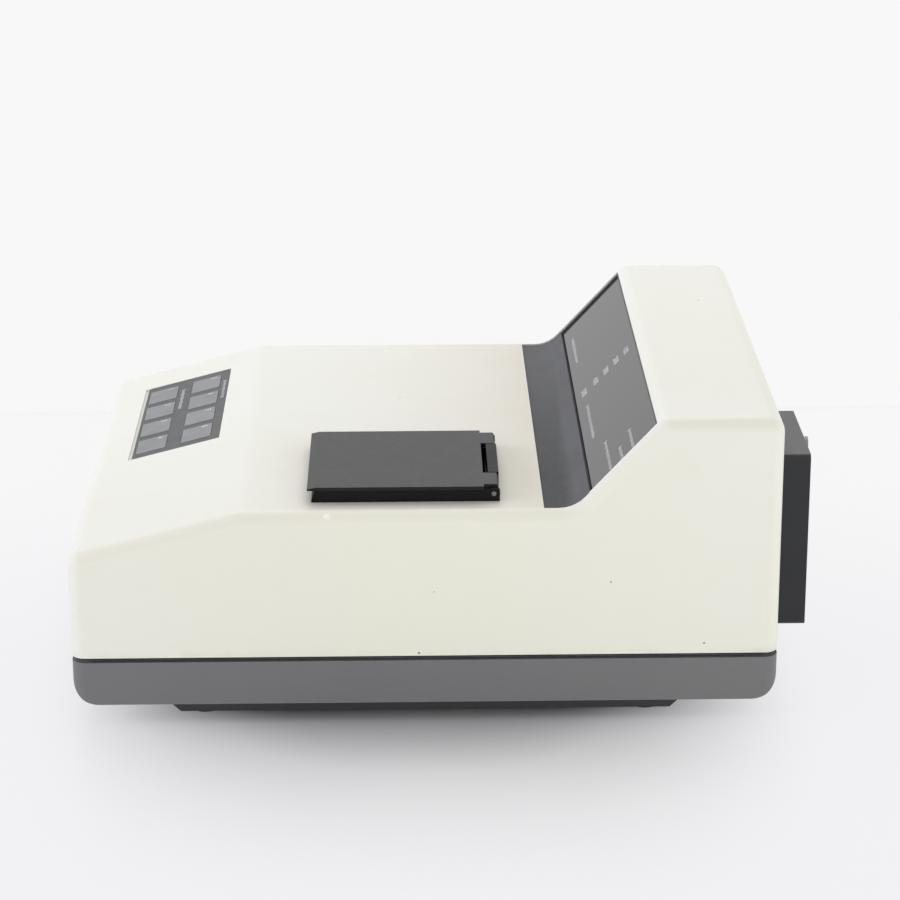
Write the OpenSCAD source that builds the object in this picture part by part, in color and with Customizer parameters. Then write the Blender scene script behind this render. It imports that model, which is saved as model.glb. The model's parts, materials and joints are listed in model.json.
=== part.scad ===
// Bench spectrophotometer for visible light: a moulded case on a grey base tray, with a hinged
// sample lid, a keypad slope, a display set back in its face and a lamp cover on the rear wall.
// Millimetres. X runs to the user's right, Y to the back and Z up. The origin is on the bench,
// under the middle of the overall box.

/* [Case] */
// Width of the case
case_w = 283; // [272:1:296]
// Depth of the case, from front face to rear face
case_d = 350; // [344:1:364]
// Height of the front face above the case's lower edge
front_h = 53.3; // [48:0.1:58]
// Height of the sample deck above the case's lower edge
deck_h = 75.2; // [73:0.1:80]
// Height of the top above the case's lower edge
top_h = 121.5; // [118:0.5:128]
// Depth of the keypad slope, front to back
slope_run = 84.2; // [80:0.1:88]
// Depth of the flat top behind the display
top_run = 59; // [54:0.5:64]
// Tilt of the display face from level, in degrees
display_angle = 47.3; // [44:0.1:52]
// Radius of the case's side edges
edge_r = 7; // [4:0.5:8]
// Radius of the hollow where the deck turns up to the display
cove_r = 17.5; // [14:0.5:22]
// Radius of the soft crease between slope and deck
crease_r = 30; // [20:1:40]
// Thickness of the case's walls
wall = 3.5; // [2.5:0.1:4]

/* [Base] */
// Height of the base tray's side
base_h = 22.5; // [18:0.5:28]
// Shadow gap between base and case
seam_gap = 2.5; // [1.5:0.1:4]
// Radius of the base's front and rear lower edges
base_r = 13; // [8:0.5:16]
// Thickness of the base's walls and floor
base_wall = 3.5; // [3:0.1:4.5]
// Height of the plinth under the base
plinth_h = 8.5; // [5:0.5:12]
// Plinth's distance from the front and the rear
plinth_end = 43.5; // [40:0.5:60]
// Plinth's distance from the sides
plinth_side = 10.5; // [9:0.5:24]
// How far the plinth's ends slant inwards
plinth_slant = 9; // [4:0.5:10]
// Radius of the plinth's corners
plinth_r = 4; // [3:0.5:12]
// How far the feet stand out of the plinth
foot_out = 2; // [1:0.5:4]
// Radius of a foot
foot_r = 9; // [6:0.5:12]
// Distance of the screw posts from the case's sides
post_side = 14; // [12.5:0.5:18]
// Distance of the screw posts from the front and the rear
post_end = 24; // [20:0.5:28]
// Outer radius of a screw post
post_r = 5; // [4.8:0.1:6]
// Radius of a case screw's shank
screw_r = 2; // [1.5:0.1:2.2]

/* [Keypad] */
// Width of the keypad overlay
keypad_w = 120; // [116:0.5:130]
// Length of the keypad overlay along the slope
keypad_l = 48; // [46:0.5:52]
// Keypad's middle, right of the case's middle
keypad_x = -47; // [-55:0.5:-40]
// Distance along the slope from its front edge to the overlay
keypad_s = 21.6; // [14:0.1:24]
// Width of one key
key_w = 21.5; // [18:0.5:24]
// Length of one key along the slope
key_l = 16.4; // [13:0.1:18]
// Spacing of the keys across the slope
key_pitch_x = 28; // [26:0.5:30]
// Spacing of the two rows of keys along the slope
key_pitch_s = 24.9; // [21:0.1:26]
// Margin under the front row of keys
key_margin = 1.6; // [1.5:0.1:3]
// Travel of a key
key_travel = 0.4; // [0.2:0.05:0.5]

/* [Display] */
// Distance of the textured strip's ends from the case's sides
strip_side = 6.3; // [4.3:0.1:12]
// Distance of the window's opening from the strip's ends
window_side = 0.7; // [0.5:0.1:12]
// Level run of the strip in front of the hollow's corner
strip_run = 14.8; // [12:0.1:18]
// Distance from the hollow's corner up the face to the strip's lip
lip_s = 10.2; // [9:0.1:13]
// Distance from the window's upper edge to the upper end of the display face
window_margin = 4.8; // [4.5:0.1:10]
// How deep the strip lies under the case's surface
strip_set = 0.9; // [0.3:0.1:1.2]
// Set-back of the window behind the case's surface
window_set = 1.7; // [1.5:0.1:3.5]
// Thickness of the window
window_t = 2; // [1.5:0.1:3]
// Height of one display digit
digit_h = 20; // [14:0.5:24]

/* [Sample compartment] */
// Width of the lid
lid_w = 85; // [82:0.5:90]
// Length of the lid from its front lip to the hinge axis, as a share of the deck's length
lid_share = 0.5595; // [0.53:0.0005:0.57]
// Thickness of the lid's plate
lid_t = 1.8; // [1.4:0.1:2]
// Lid's distance from the case's side
lid_side = 14.5; // [13:0.5:18]
// Lid's distance behind the crease of the slope, as a share of the deck's length
setback_share = 0.203; // [0.17:0.001:0.21]
// How far the lid stands out over the collar's sides
lid_over = 1.5; // [0.8:0.1:2]
// Height of the collar above the deck
collar_h = 6.3; // [5.4:0.1:7]
// Height of the hinge axis above the deck
hinge_up = 3.8; // [3.5:0.1:4]
// Radius of the hinge pin
pin_r = 1.2; // [1:0.05:1.4]
// Half width of the hinge's fixed middle block
knuckle_half = 21.6; // [16:0.1:26]
// Wall of the sample well
well_wall = 3.2; // [2.5:0.1:4]
// Height of the light beam above the bench surface
beam_z = 69; // [67:0.5:71]
// Width of the square pocket for a cuvette
cuvette_w = 12.8; // [12.6:0.1:13.2]
// Width of the cuvette holder's block
holder_w = 28; // [24:0.5:32]

/* [Lamp] */
// Width of the lamp cover
cover_w = 70.7; // [66:0.1:76]
// Height of the lamp cover
cover_h = 90.3; // [84:0.1:94]
// Depth of the lamp cover
cover_d = 15.5; // [12:0.5:20]
// Lamp cover's distance above the case's lower edge
cover_up = 5.6; // [5:0.1:10]
// Thickness of the lamp cover's sheet
sheet = 1.2; // [0.8:0.1:1.6]
// How far the cover's thumbscrew stands out
thumb_out = 3; // [2:0.5:5]
// Radius of the thumbscrew's head
thumb_r = 3.4; // [3:0.1:4.5]
// Radius of the lamp bulb
bulb_r = 5; // [4:0.1:5.5]
// Radius of the condenser lens
lens_r = 9; // [7:0.1:10]

/* [Monochromator] */
// Reach of the housing to the left of the beam
mono_reach = 115; // [105:1:118]
// Reach of the housing to the right of the beam
mono_right = 38; // [30:1:40]
// Wall of the housing
mono_wall = 4; // [3:0.1:5]
// Width of the square grating
grating_w = 22; // [18:0.5:24]
// Module of the drive's teeth
tooth_module = 0.8; // [0.7:0.05:0.85]
// Number of teeth on the pinion
pinion_teeth = 18; // [17:1:20]
// Number of teeth of a full wheel on the sector's radius
sector_teeth = 108; // [100:1:112]
// Radius of the grating's shaft
shaft_r = 3; // [2.5:0.1:3.5]
// Radius of the filter wheel
wheel_r = 23; // [21:0.5:24]
// Radius of one filter
filter_r = 5.2; // [4.5:0.1:5.6]

/* [Rear sockets] */
// Mains inlet's middle, from the case's left side
inlet_side = 46.5; // [40:0.5:52]
// Power switch's middle, from the case's left side
switch_side = 91.5; // [88:0.5:96]
// Serial socket's middle, from the case's left side
serial_side = 127.5; // [124:0.5:132]
// Height of the rear sockets above the bench surface
socket_z = 66; // [60:1:72]
// Tilt of the power rocker at either end, in degrees
rocker_tilt = 7; // [5:0.5:8]

/* [Fits] */
// Gap between pieces that lie beside each other
gap = 0.3; // [0.2:0.05:0.4]
// Radial play of pins and shafts
run = 0.05; // [0.02:0.01:0.08]

/* [Hidden] */
$fn = 48;

// Levels
base_z = foot_out + plinth_h;
base_top = base_z + base_h;
case_z = base_top + seam_gap;
deck_z = case_z + deck_h;
top_z = case_z + top_h;
floor_z = base_z + base_wall;
bench_t = 3;
bench_z = floor_z + bench_t;

// Front, rear and the corners of the side view
overall_d = case_d + cover_d + thumb_out;
front_y = -overall_d / 2;
rear_y = front_y + case_d;
mid_y = (front_y + rear_y) / 2;
crease_y = front_y + slope_run;
brow_y = rear_y - top_run;
cove_y = brow_y - (top_z - deck_z) / tan(display_angle);
slope_angle = atan((deck_h - front_h) / slope_run);
corner_r = edge_r + 1;
function case_corners(low) = [
    [front_y, low, 0],
    [front_y, case_z + front_h, corner_r],
    [crease_y, deck_z, crease_r],
    [cove_y, deck_z, cove_r],
    [brow_y, top_z, corner_r],
    [rear_y, top_z, corner_r],
    [rear_y, low, 0]];
arc_steps = 5;
round_steps = 6;

// Height of the base's upstand inside the case
seam_lap = 5;

// Margin between a foot and the plinth's edge
foot_in = 3;

// How far a cutting form reaches past what it cuts
over = 1;

// Case screws
post_z = case_z + 3;
screw_bite = 12;
post_top = post_z + screw_bite + 6;
screw_head = 3;
head_r = screw_r + 1.6;
post_x = case_w / 2 - post_side;
post_ys = [front_y + post_end, rear_y - post_end];

// Sample compartment
lid_x = case_w / 2 - lid_side - lid_w / 2;
deck_run = cove_y - crease_y;
lid_y = crease_y + deck_run * setback_share;
hinge_y = lid_y + deck_run * lid_share;
hinge_z = deck_z + hinge_up;
lid_under = deck_z + collar_h + 0.2;
lid_top = lid_under + lid_t;
lid_bevel = 4;
lid_notch = 4.9;
collar_half = lid_w / 2 - lid_over;
collar_foot = lid_y + 1.9;
collar_draft = 1.6;
collar_rear = hinge_y + 2.9;
cheek = 1.6;
spigot_half = collar_half - 2 - gap;
spigot_front = collar_foot + 3;
spigot_rear = hinge_y + 1.1;
spigot_z = deck_z - wall - 2;
well_half = spigot_half - well_wall;
well_front = spigot_front + well_wall;
well_rear = hinge_y - 3.2;
well_y = (well_front + well_rear) / 2;
cuvette_floor = beam_z - 15;
well_t = 3;
well_floor = cuvette_floor - well_t;
beam_hole = 5;
slot_deep = 3;
spring_w = 6;
spring_up = 2;
skirt_t = 1.4;
skirt_gap = 1;
skirt_rear = hinge_y - 6.4;
knuckle_front = hinge_y - 2.4;
holder_top = cuvette_floor + 36;

// Lamp cover's thumbscrew, and the boss it turns into
thumb_z = case_z + cover_up + cover_h - 6;
boss_l = 6;

// Optical line, from the lamp at the rear to the detector
lamp_y = rear_y - wall - 10;
shield_t = 2;
shield_y = lamp_y - 16;
lens_t = 6;
wheel_t = 3;
wheel_y = shield_y - lens_t - 5 - wheel_t;
motor_l = 13;
motor_gap = 1.5;
mono_rear = wheel_y - motor_gap - motor_l;
mono_front = spigot_rear + 3;
mono_mid = (mono_front + mono_rear) / 2;
mono_left = lid_x - mono_reach;
mono_floor = beam_z - 27;
mono_top = beam_z + 23;
lid_plate_t = 3;
grating_x = mono_left + 24;
mirror_side = 21.3;
mirror_off = (mono_rear - mono_front) / 2 - mirror_side;
pinion_pitch_r = tooth_module * pinion_teeth / 2;
sector_pitch_r = tooth_module * sector_teeth / 2;
gear_centres = pinion_pitch_r + sector_pitch_r + 0.1;
motor_x = grating_x - gear_centres;
motor_r = 13.5;
gear_z = mono_top + lid_plate_t + 1;
gear_t = 4;
tooth_play = 0.12;
motor_shaft_r = 2.5;
motor_shaft_l = 10;
motor_h = 22;
sector_count = 15;
filters = 6;
filter_pcd = 16;
wheel_x = lid_x - filter_pcd;
filter_motor_r = 9;
axle_r = 1.5;
axle_l = 8;

// Display
strip_half = case_w / 2 - strip_side;
window_half = strip_half - window_side;
window_top = (top_z - deck_z) / sin(display_angle) - window_margin;

// Rear sockets, as [width, height]
inlet_x = inlet_side - case_w / 2;
switch_x = switch_side - case_w / 2;
serial_x = serial_side - case_w / 2;
inlet_flange = [50, 23];
inlet_shell = [27.2, 19.6];
inlet_mouth = [24.4, 16.2];
switch_flange = [23, 31];
switch_shell = [19, 27];
switch_mouth = [15, 24.4];
serial_flange = [31, 12.6];
serial_shell = [19, 10.4];
serial_nose = [17, 8];

// Keypad, in the slope's own frame
keypad_deep = 1.1;
overlay_t = 0.8;
key_rows = 2;
key_columns = 4;
key_sink = 0.1;
key_r = 1;
key_play = 0.2;
overlay_r = 1.5;
keypad_ledge = 1.2;
board_t = 1.6;

// Electronics
board_z = bench_z + 8;
board_left = -(case_w / 2 - wall - 9);
board_right = lid_x - spigot_half - 10;
board_front = front_y + 38;
board_rear = mono_front - 12;
display_stack = 16;
ribbon_w = 20;
ribbon_x = board_left + ribbon_w / 2 + 1;
transformer_x = 49.5 - case_w / 2;
core_w = 66;
core_h = 55;
core_d = 24;
core_leg = 11;
winding = 9;
transformer_y = mono_mid + motor_r + winding + core_d / 2 + 3;

// Vectors in the side view
function unit(v) = v / norm(v);
function left_of(v) = [-v[1], v[0]];
function turned(v, a) = [v[0] * cos(a) - v[1] * sin(a), v[0] * sin(a) + v[1] * cos(a)];
function reversed(list) = [for (i = [len(list) - 1:-1:0]) list[i]];

// Arc at corner i of a path whose corners are [y, z, radius], moved to the right by inset
function corner_arc(path, i, inset) =
    let (here = [path[i][0], path[i][1]])
    let (before = unit(here - [path[i - 1][0], path[i - 1][1]]))
    let (after = unit([path[i + 1][0], path[i + 1][1]] - here))
    let (side = before[0] * after[1] - before[1] * after[0] > 0 ? 1 : -1)
    let (turn = acos(before * after))
    let (r = path[i][2])
    let (centre = here - before * r * tan(turn / 2) + left_of(before) * side * r)
    [for (k = [0:arc_steps])
        centre - turned(left_of(before) * side, side * turn * k / arc_steps) * (r + side * inset)];

// Whole path moved to the right by inset; its first and last corners stay sharp
function path_points(path, inset) =
    let (last = len(path) - 1)
    let (start = unit([path[1][0] - path[0][0], path[1][1] - path[0][1]]))
    let (end = unit([path[last][0] - path[last - 1][0], path[last][1] - path[last - 1][1]]))
    concat(
        [[path[0][0], path[0][1]] - left_of(start) * inset],
        [for (i = [1:last - 1]) each corner_arc(path, i, inset)],
        [[path[last][0], path[last][1]] - left_of(end) * inset]);

// Flank angle of an involute tooth at radius q
function roll(base, q) = let (a = acos(min(1, base / q))) tan(a) * 180 / PI - a;
function tooth(teeth, play) =
    let (pitch = tooth_module * teeth / 2)
    let (base = pitch * cos(20))
    let (tip = pitch + tooth_module * 0.95)
    let (root = pitch - tooth_module * 1.2)
    let (half = 90 / teeth - play / pitch * 90 / PI)
    let (radii = [for (k = [0:4]) max(base, root) + (tip - max(base, root)) * k / 4])
    let (flank = [for (q = radii) [q, half + roll(base, pitch) - roll(base, q)]])
    concat([[root, -flank[0][1]]], [for (f = flank) [f[0], -f[1]]],
        reversed(flank), [[root, flank[0][1]]]);
function gear_points(teeth, count, play) =
    [for (i = [0:count - 1]) each [for (p = tooth(teeth, play))
        let (a = p[1] + (i - (count - 1) / 2) * 360 / teeth) [p[0] * cos(a), p[0] * sin(a)]]];

// Plain helpers
module block(x, y, z) {
    translate([x[0], y[0], z[0]])
        cube([x[1] - x[0], y[1] - y[0], z[1] - z[0]]);
}

module rounded_square(w, h, r) {
    square([w - 2 * r, h], center = true);
    square([w, h - 2 * r], center = true);
    for (x = [-1, 1], y = [-1, 1])
        translate([x * (w / 2 - r), y * (h / 2 - r)])
            circle(r);
}

module rod_x(y, z, r, x) {
    translate([x[0], y, z])
        rotate([0, 90, 0])
            cylinder(r = r, h = x[1] - x[0]);
}

module rod_y(x, z, r, y) {
    translate([x, y[0], z])
        rotate([-90, 0, 0])
            cylinder(r = r, h = y[1] - y[0]);
}

module rod_z(x, y, r, z) {
    translate([x, y, z[0]])
        cylinder(r = r, h = z[1] - z[0]);
}

// Side view, drawn as [y, z], extruded across the width
module side_extrude(x) {
    translate([x[0], 0, 0])
        rotate([90, 0, 90])
            linear_extrude(x[1] - x[0])
                children();
}

// Rear view, drawn as [x, z], extruded along the depth
module depth_extrude(y) {
    translate([0, y[1], 0])
        rotate([90, 0, 0])
            linear_extrude(y[1] - y[0])
                children();
}

// Band between two insets of one path, extruded across the width
module band(path, insets, x) {
    side_extrude(x)
        polygon(concat(path_points(path, insets[0]), reversed(path_points(path, insets[1]))));
}

module on_slope() {
    translate([0, front_y, case_z + front_h])
        rotate([slope_angle, 0, 0])
            children();
}

module on_display() {
    translate([0, cove_y, deck_z])
        rotate([display_angle, 0, 0])
            children();
}

module at_posts() {
    for (x = [-post_x, post_x], y = post_ys)
        translate([x, y, 0])
            children();
}

// Base tray
module tray_profile(inset) {
    r = base_r - inset;
    y0 = front_y + inset;
    y1 = rear_y - inset;
    translate([y0, base_z + base_r])
        square([y1 - y0, base_top - base_z - base_r]);
    translate([front_y + base_r, base_z + inset])
        square([case_d - 2 * base_r, base_r]);
    for (y = [front_y + base_r, rear_y - base_r])
        translate([y, base_z + base_r])
            circle(r);
}

module tray_form(inset, top) {
    intersection() {
        union() {
            side_extrude([-case_w / 2 + inset, case_w / 2 - inset])
                tray_profile(inset);
            block([-case_w / 2 + inset, case_w / 2 - inset], [front_y + inset, rear_y - inset],
                [base_top - over, top]);
        }
        translate([0, mid_y, base_z])
            linear_extrude(top - base_z)
                rounded_square(case_w - 2 * inset, case_d - 2 * inset, edge_r - min(inset, edge_r - 1));
    }
}

module plinth_form(inset, r, z) {
    translate([0, mid_y, z[0]])
        linear_extrude(z[1] - z[0])
            rounded_square(case_w - 2 * plinth_side - 2 * inset, case_d - 2 * plinth_end - 2 * inset, r);
}

module plinth() {
    y = [front_y + plinth_end, rear_y - plinth_end];
    top = base_z + over;
    intersection() {
        plinth_form(0, plinth_r, [foot_out, top]);
        side_extrude([-case_w / 2, case_w / 2])
            polygon([[y[0], top], [y[0], base_z], [y[0] + plinth_slant, foot_out],
                [y[1] - plinth_slant, foot_out], [y[1], base_z], [y[1], top]]);
    }
}

module upstand_form(inset, z) {
    translate([0, mid_y, z[0]])
        linear_extrude(z[1] - z[0])
            rounded_square(case_w - 2 * inset, case_d - 2 * inset, 3);
}

module at_feet() {
    foot_x = case_w / 2 - plinth_side - foot_r - foot_in;
    foot_y = case_d / 2 - plinth_end - plinth_slant - foot_r - foot_in;
    for (x = [-foot_x, foot_x], y = [-foot_y, foot_y])
        translate([x, mid_y + y, 0])
            children();
}

module base_tray() {
    lip = 2;
    upstand = wall + gap;
    color("dimgray")
        difference() {
            union() {
                difference() {
                    union() {
                        tray_form(0, base_top);
                        plinth();
                    }
                    tray_form(base_wall, base_top + over);
                    plinth_form(base_wall + plinth_slant, 2, [foot_out + base_wall, floor_z + over]);
                }
                difference() {
                    upstand_form(upstand - over, [base_top - seam_lap, base_top]);
                    upstand_form(upstand + lip, [base_top - seam_lap - over, base_top + over]);
                }
                difference() {
                    upstand_form(upstand, [base_top - seam_lap, case_z + seam_lap]);
                    upstand_form(upstand + lip, [base_top - seam_lap - over, case_z + seam_lap + over]);
                }
                at_posts()
                    rod_z(0, 0, post_r, [base_z + 1, post_z]);
            }
            at_posts() {
                rod_z(0, 0, screw_r + run, [base_z - over, post_z + over]);
                rod_z(0, 0, head_r + gap, [base_z - over, post_z - screw_head * 2]);
            }
            at_feet()
                rod_z(0, 0, foot_r + run, [0, foot_out + base_wall / 2]);
        }
}

module rubber_feet() {
    color("black")
        at_feet()
            rod_z(0, 0, foot_r, [0, foot_out + base_wall / 2]);
}

module optical_bench() {
    bench_end = base_r + 3;
    bench_side = base_wall + 4;
    color("silver")
        difference() {
            block([-case_w / 2 + bench_side, case_w / 2 - bench_side],
                [front_y + bench_end, rear_y - bench_end], [floor_z, bench_z]);
            at_posts()
                rod_z(0, 0, post_r + 3 * gap, [floor_z - over, bench_z + over]);
        }
}

// Case cover
module case_form() {
    left = [for (k = [0:round_steps]) 90 * (1 - k / round_steps)];
    stations = concat([for (a = left) [-case_w / 2 + edge_r * (1 - sin(a)), edge_r * (1 - cos(a))]],
        [for (a = reversed(left)) [case_w / 2 - edge_r * (1 - sin(a)), edge_r * (1 - cos(a))]]);
    rings = [for (s = stations) [for (p = path_points(case_corners(case_z), s[1])) [s[0], p[0], p[1]]]];
    count = len(rings[0]);
    last = len(rings) - 1;
    polyhedron(
        points = [for (ring = rings) each ring],
        faces = concat(
            [[for (j = [count - 1:-1:0]) j]],
            [[for (j = [0:count - 1]) last * count + (j + count - 1) % count]],
            [for (i = [0:last - 1], j = [0:count - 1])
                let (n = (j + 1) % count)
                [i * count + j, i * count + n, (i + 1) * count + n, (i + 1) * count + j]]));
}

// Side view of the hollow, from its level run to a distance up the display face
function hollow(level, rise) = [[cove_y - level, deck_z, 0], [cove_y, deck_z, cove_r],
    [cove_y + rise * cos(display_angle), deck_z + rise * sin(display_angle), 0]];

module display_cut() {
    band(hollow(strip_run, lip_s + gap), [-over, wall + over], [-strip_half - gap, strip_half + gap]);
    on_display()
        block([-window_half - gap, window_half + gap], [lip_s - over, window_top + gap],
            [-wall - over, over]);
}

module keypad_cut() {
    x = [keypad_x - keypad_w / 2, keypad_x + keypad_w / 2];
    s = [keypad_s, keypad_s + keypad_l];
    ledge = 4;
    front_margin = 1.9;
    on_slope() {
        block([x[0] - gap, x[1] + gap], [s[0] - front_margin, s[1] + gap], [-keypad_deep, over]);
        block([x[0] + ledge, x[1] - ledge], [s[0] + keypad_ledge, s[1] - ledge], [-wall - over, 0]);
    }
}

// Box round a rear socket's middle, and the rounded plate against the case
module port(x, size, grow, y) {
    block([x - size[0] / 2 - grow, x + size[0] / 2 + grow], y,
        [socket_z - size[1] / 2 - grow, socket_z + size[1] / 2 + grow]);
}

module port_plate(x, size, r, out) {
    translate([x, 0, socket_z])
        depth_extrude([rear_y, rear_y + out])
            rounded_square(size[0], size[1], r);
}

module rear_cuts() {
    y = [rear_y - wall - over, rear_y + over];
    lamp_half = cover_w / 2 - 7;
    above = 8;
    below = 22;
    block([lid_x - lamp_half, lid_x + lamp_half], y,
        [case_z + cover_up + above, case_z + cover_up + cover_h - below]);
    rod_y(lid_x, thumb_z, screw_r + run, [rear_y - wall - boss_l, rear_y + over]);
    port(inlet_x, inlet_shell, gap, y);
    port(switch_x, switch_shell, gap, y);
    port(serial_x, serial_shell, gap, y);
}

module case_cover() {
    rib_t = 3;
    color("ivory")
        difference() {
            union() {
                difference() {
                    case_form();
                    side_extrude([-case_w / 2 + wall, case_w / 2 - wall])
                        polygon(path_points(case_corners(case_z - over), wall));
                }
                at_posts()
                    rod_z(0, 0, post_r, [post_z, post_top]);
                for (x = [-1, 1], y = post_ys)
                    block([x > 0 ? post_x : over - case_w / 2, x > 0 ? case_w / 2 - over : -post_x],
                        [y - rib_t / 2, y + rib_t / 2], [case_z + seam_lap + over, post_top]);
                rod_y(lid_x, thumb_z, post_r, [rear_y - wall - boss_l, rear_y - over]);
            }
            at_posts()
                rod_z(0, 0, screw_r + run, [post_z - over, post_z + screw_bite]);
            display_cut();
            keypad_cut();
            block([lid_x - spigot_half - gap, lid_x + spigot_half + gap],
                [spigot_front - gap, spigot_rear + gap], [deck_z - wall - over, deck_z + over]);
            rear_cuts();
        }
}

module case_screws() {
    drive_r = 1.2;
    color("silver")
        at_posts()
            difference() {
                union() {
                    rod_z(0, 0, screw_r, [post_z - 2 * screw_head, post_z + screw_bite - 1]);
                    rod_z(0, 0, head_r, [post_z - 3 * screw_head, post_z - 2 * screw_head]);
                }
                rod_z(0, 0, drive_r, [post_z - 3 * screw_head - over, post_z - 2 * screw_head - over]);
            }
}

// Keypad
module key_plan(number, grow) {
    column = (number - 1) % key_columns;
    row = floor((number - 1) / key_columns);
    translate([keypad_x + (column - (key_columns - 1) / 2) * key_pitch_x,
            keypad_s + key_margin + key_l / 2 + row * key_pitch_s])
        rounded_square(key_w + 2 * grow, key_l + 2 * grow, key_r);
}

module keypad_overlay() {
    color("gray")
        on_slope()
            translate([0, 0, -keypad_deep])
                difference() {
                    translate([keypad_x, keypad_s + keypad_l / 2, 0])
                        linear_extrude(overlay_t)
                            rounded_square(keypad_w, keypad_l, overlay_r);
                    for (number = [1:key_rows * key_columns])
                        translate([0, 0, -over])
                            linear_extrude(overlay_t + 2 * over)
                                key_plan(number, key_play);
                }
}

module key(number) {
    color("darkgray")
        on_slope()
            translate([0, 0, -keypad_deep])
                linear_extrude(keypad_deep - key_sink)
                    key_plan(number, 0);
}

module key_1() { key(1); }
module key_2() { key(2); }
module key_3() { key(3); }
module key_4() { key(4); }
module key_5() { key(5); }
module key_6() { key(6); }
module key_7() { key(7); }
module key_8() { key(8); }

module key_domes() {
    dome_r = [5, 2.5];
    play = 0.1;
    dome_h = wall + gap - keypad_deep - key_travel - play;
    color("silver")
        on_slope()
            for (number = [1:key_rows * key_columns])
                translate([keypad_x + ((number - 1) % key_columns - (key_columns - 1) / 2) * key_pitch_x,
                        keypad_s + key_margin + key_l / 2
                            + floor((number - 1) / key_columns) * key_pitch_s, -wall - gap])
                    cylinder(r1 = dome_r[0], r2 = dome_r[1], h = dome_h);
}

module keypad_board() {
    margin = 3;
    color("darkgreen")
        on_slope()
            block([keypad_x - keypad_w / 2 - margin, keypad_x + keypad_w / 2 + margin],
                [keypad_s - margin, keypad_s + keypad_l + margin],
                [-wall - gap - board_t, -wall - gap]);
}

// Keypad and display ribbons, from sockets on the main board
keypad_tail_s = keypad_s + keypad_l / 2;
keypad_tail_y = front_y + keypad_tail_s * cos(slope_angle)
    + (wall + gap + board_t) * sin(slope_angle);
keypad_tail_z = case_z + front_h + keypad_tail_s * sin(slope_angle)
    - (wall + gap + board_t) * cos(slope_angle);
tail_up = 12;
display_tail_s = lip_s + tail_up;
display_tail_y = cove_y + display_tail_s * cos(display_angle)
    + (display_stack + board_t) * sin(display_angle);
display_tail_z = deck_z + display_tail_s * sin(display_angle)
    - (display_stack + board_t) * cos(display_angle);
header_h = 8;
header_in = 16;
header_top = board_z + board_t + header_h;
display_header_y = board_rear - header_in;
ribbon_t = 0.8;

module ribbon_cables() {
    bend = 6;
    below = 8;
    run_z = mono_top - below;
    color("lightgray") {
        block([keypad_x - ribbon_w / 2, keypad_x + ribbon_w / 2],
            [keypad_tail_y, keypad_tail_y + ribbon_t], [header_top, keypad_tail_z - gap]);
        band([[display_header_y, header_top, 0], [display_header_y, run_z, bend],
                [display_tail_y, run_z, bend], [display_tail_y, display_tail_z - gap, 0]],
            [0, ribbon_t], [ribbon_x - ribbon_w / 2, ribbon_x + ribbon_w / 2]);
    }
}

// Display
frame_w = 1.2;
frame_back = window_set + window_t + 2;
window_s0 = lip_s + frame_w;

module display_bezel() {
    strip_t = wall + 2;
    flange = 4;
    ledge = 3;
    tuck = 2;
    stud_r = 1.4;
    stud_end = 6;
    stud_in = 1.5;
    in_s = lip_s - ledge;
    color("dimgray") {
        band(hollow(strip_run - gap, lip_s), [strip_set, strip_t], [-strip_half, strip_half]);
        block([-strip_half, strip_half], [cove_y - strip_run - flange, cove_y - strip_run + flange],
            [deck_z - strip_t, deck_z - wall - gap / 3]);
        on_display()
            difference() {
                union() {
                    block([-window_half, window_half], [in_s, window_top], [-frame_back, -strip_set]);
                    block([-window_half, window_half], [in_s, window_top + tuck],
                        [-frame_back, -wall - gap]);
                }
                block([-window_half + frame_w, window_half - frame_w], [lip_s, window_top - frame_w],
                    [-window_set - window_t, over]);
                block([-window_half + frame_w + ledge, window_half - frame_w - ledge],
                    [window_s0 + ledge, window_top - frame_w - ledge], [-frame_back - over, 0]);
            }
        on_display()
            for (x = [stud_end - window_half, 0, window_half - stud_end],
                    s = [lip_s + stud_in, window_top - stud_in])
                translate([x, s, -display_stack])
                    cylinder(r = stud_r, h = display_stack - frame_back + gap);
    }
}

module display_window() {
    inset = frame_w + gap / 2;
    color("darkslategray")
        on_display()
            block([-window_half + inset, window_half - inset], [window_s0, window_top - inset],
                [-window_set - window_t, -window_set]);
}

module display_board() {
    color("darkgreen")
        on_display()
            block([-window_half + 2, window_half - 2], [lip_s, window_top],
                [-display_stack - board_t, -display_stack]);
}

module led_digits() {
    digit_w = 13;
    digit_pitch = 16;
    digit_s = (window_s0 + window_top) / 2;
    first = [-0.75 * window_half, 0.1875 * window_half];
    counts = [3, 4];
    lamps = 5;
    lamp_pitch = 8;
    lamp_r = 1.5;
    lamp_x = first[1] / 2 - digit_pitch * 1.6;
    rise = display_stack - frame_back - gap;
    color("darkred")
        on_display()
            translate([0, 0, -display_stack]) {
                for (group = [0, 1], i = [0:counts[group] - 1])
                    translate([first[group] + i * digit_pitch - digit_w / 2, digit_s - digit_h / 2, 0])
                        cube([digit_w, digit_h, rise]);
                for (i = [0:lamps - 1])
                    translate([lamp_x, digit_s + (i - (lamps - 1) / 2) * lamp_pitch, 0])
                        cylinder(r = lamp_r, h = rise);
            }
}

// Sample compartment
module collar_side() {
    polygon([[collar_foot, deck_z], [collar_foot + collar_draft, deck_z + collar_h],
        [collar_rear, deck_z + collar_h], [collar_rear, deck_z]]);
}

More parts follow.
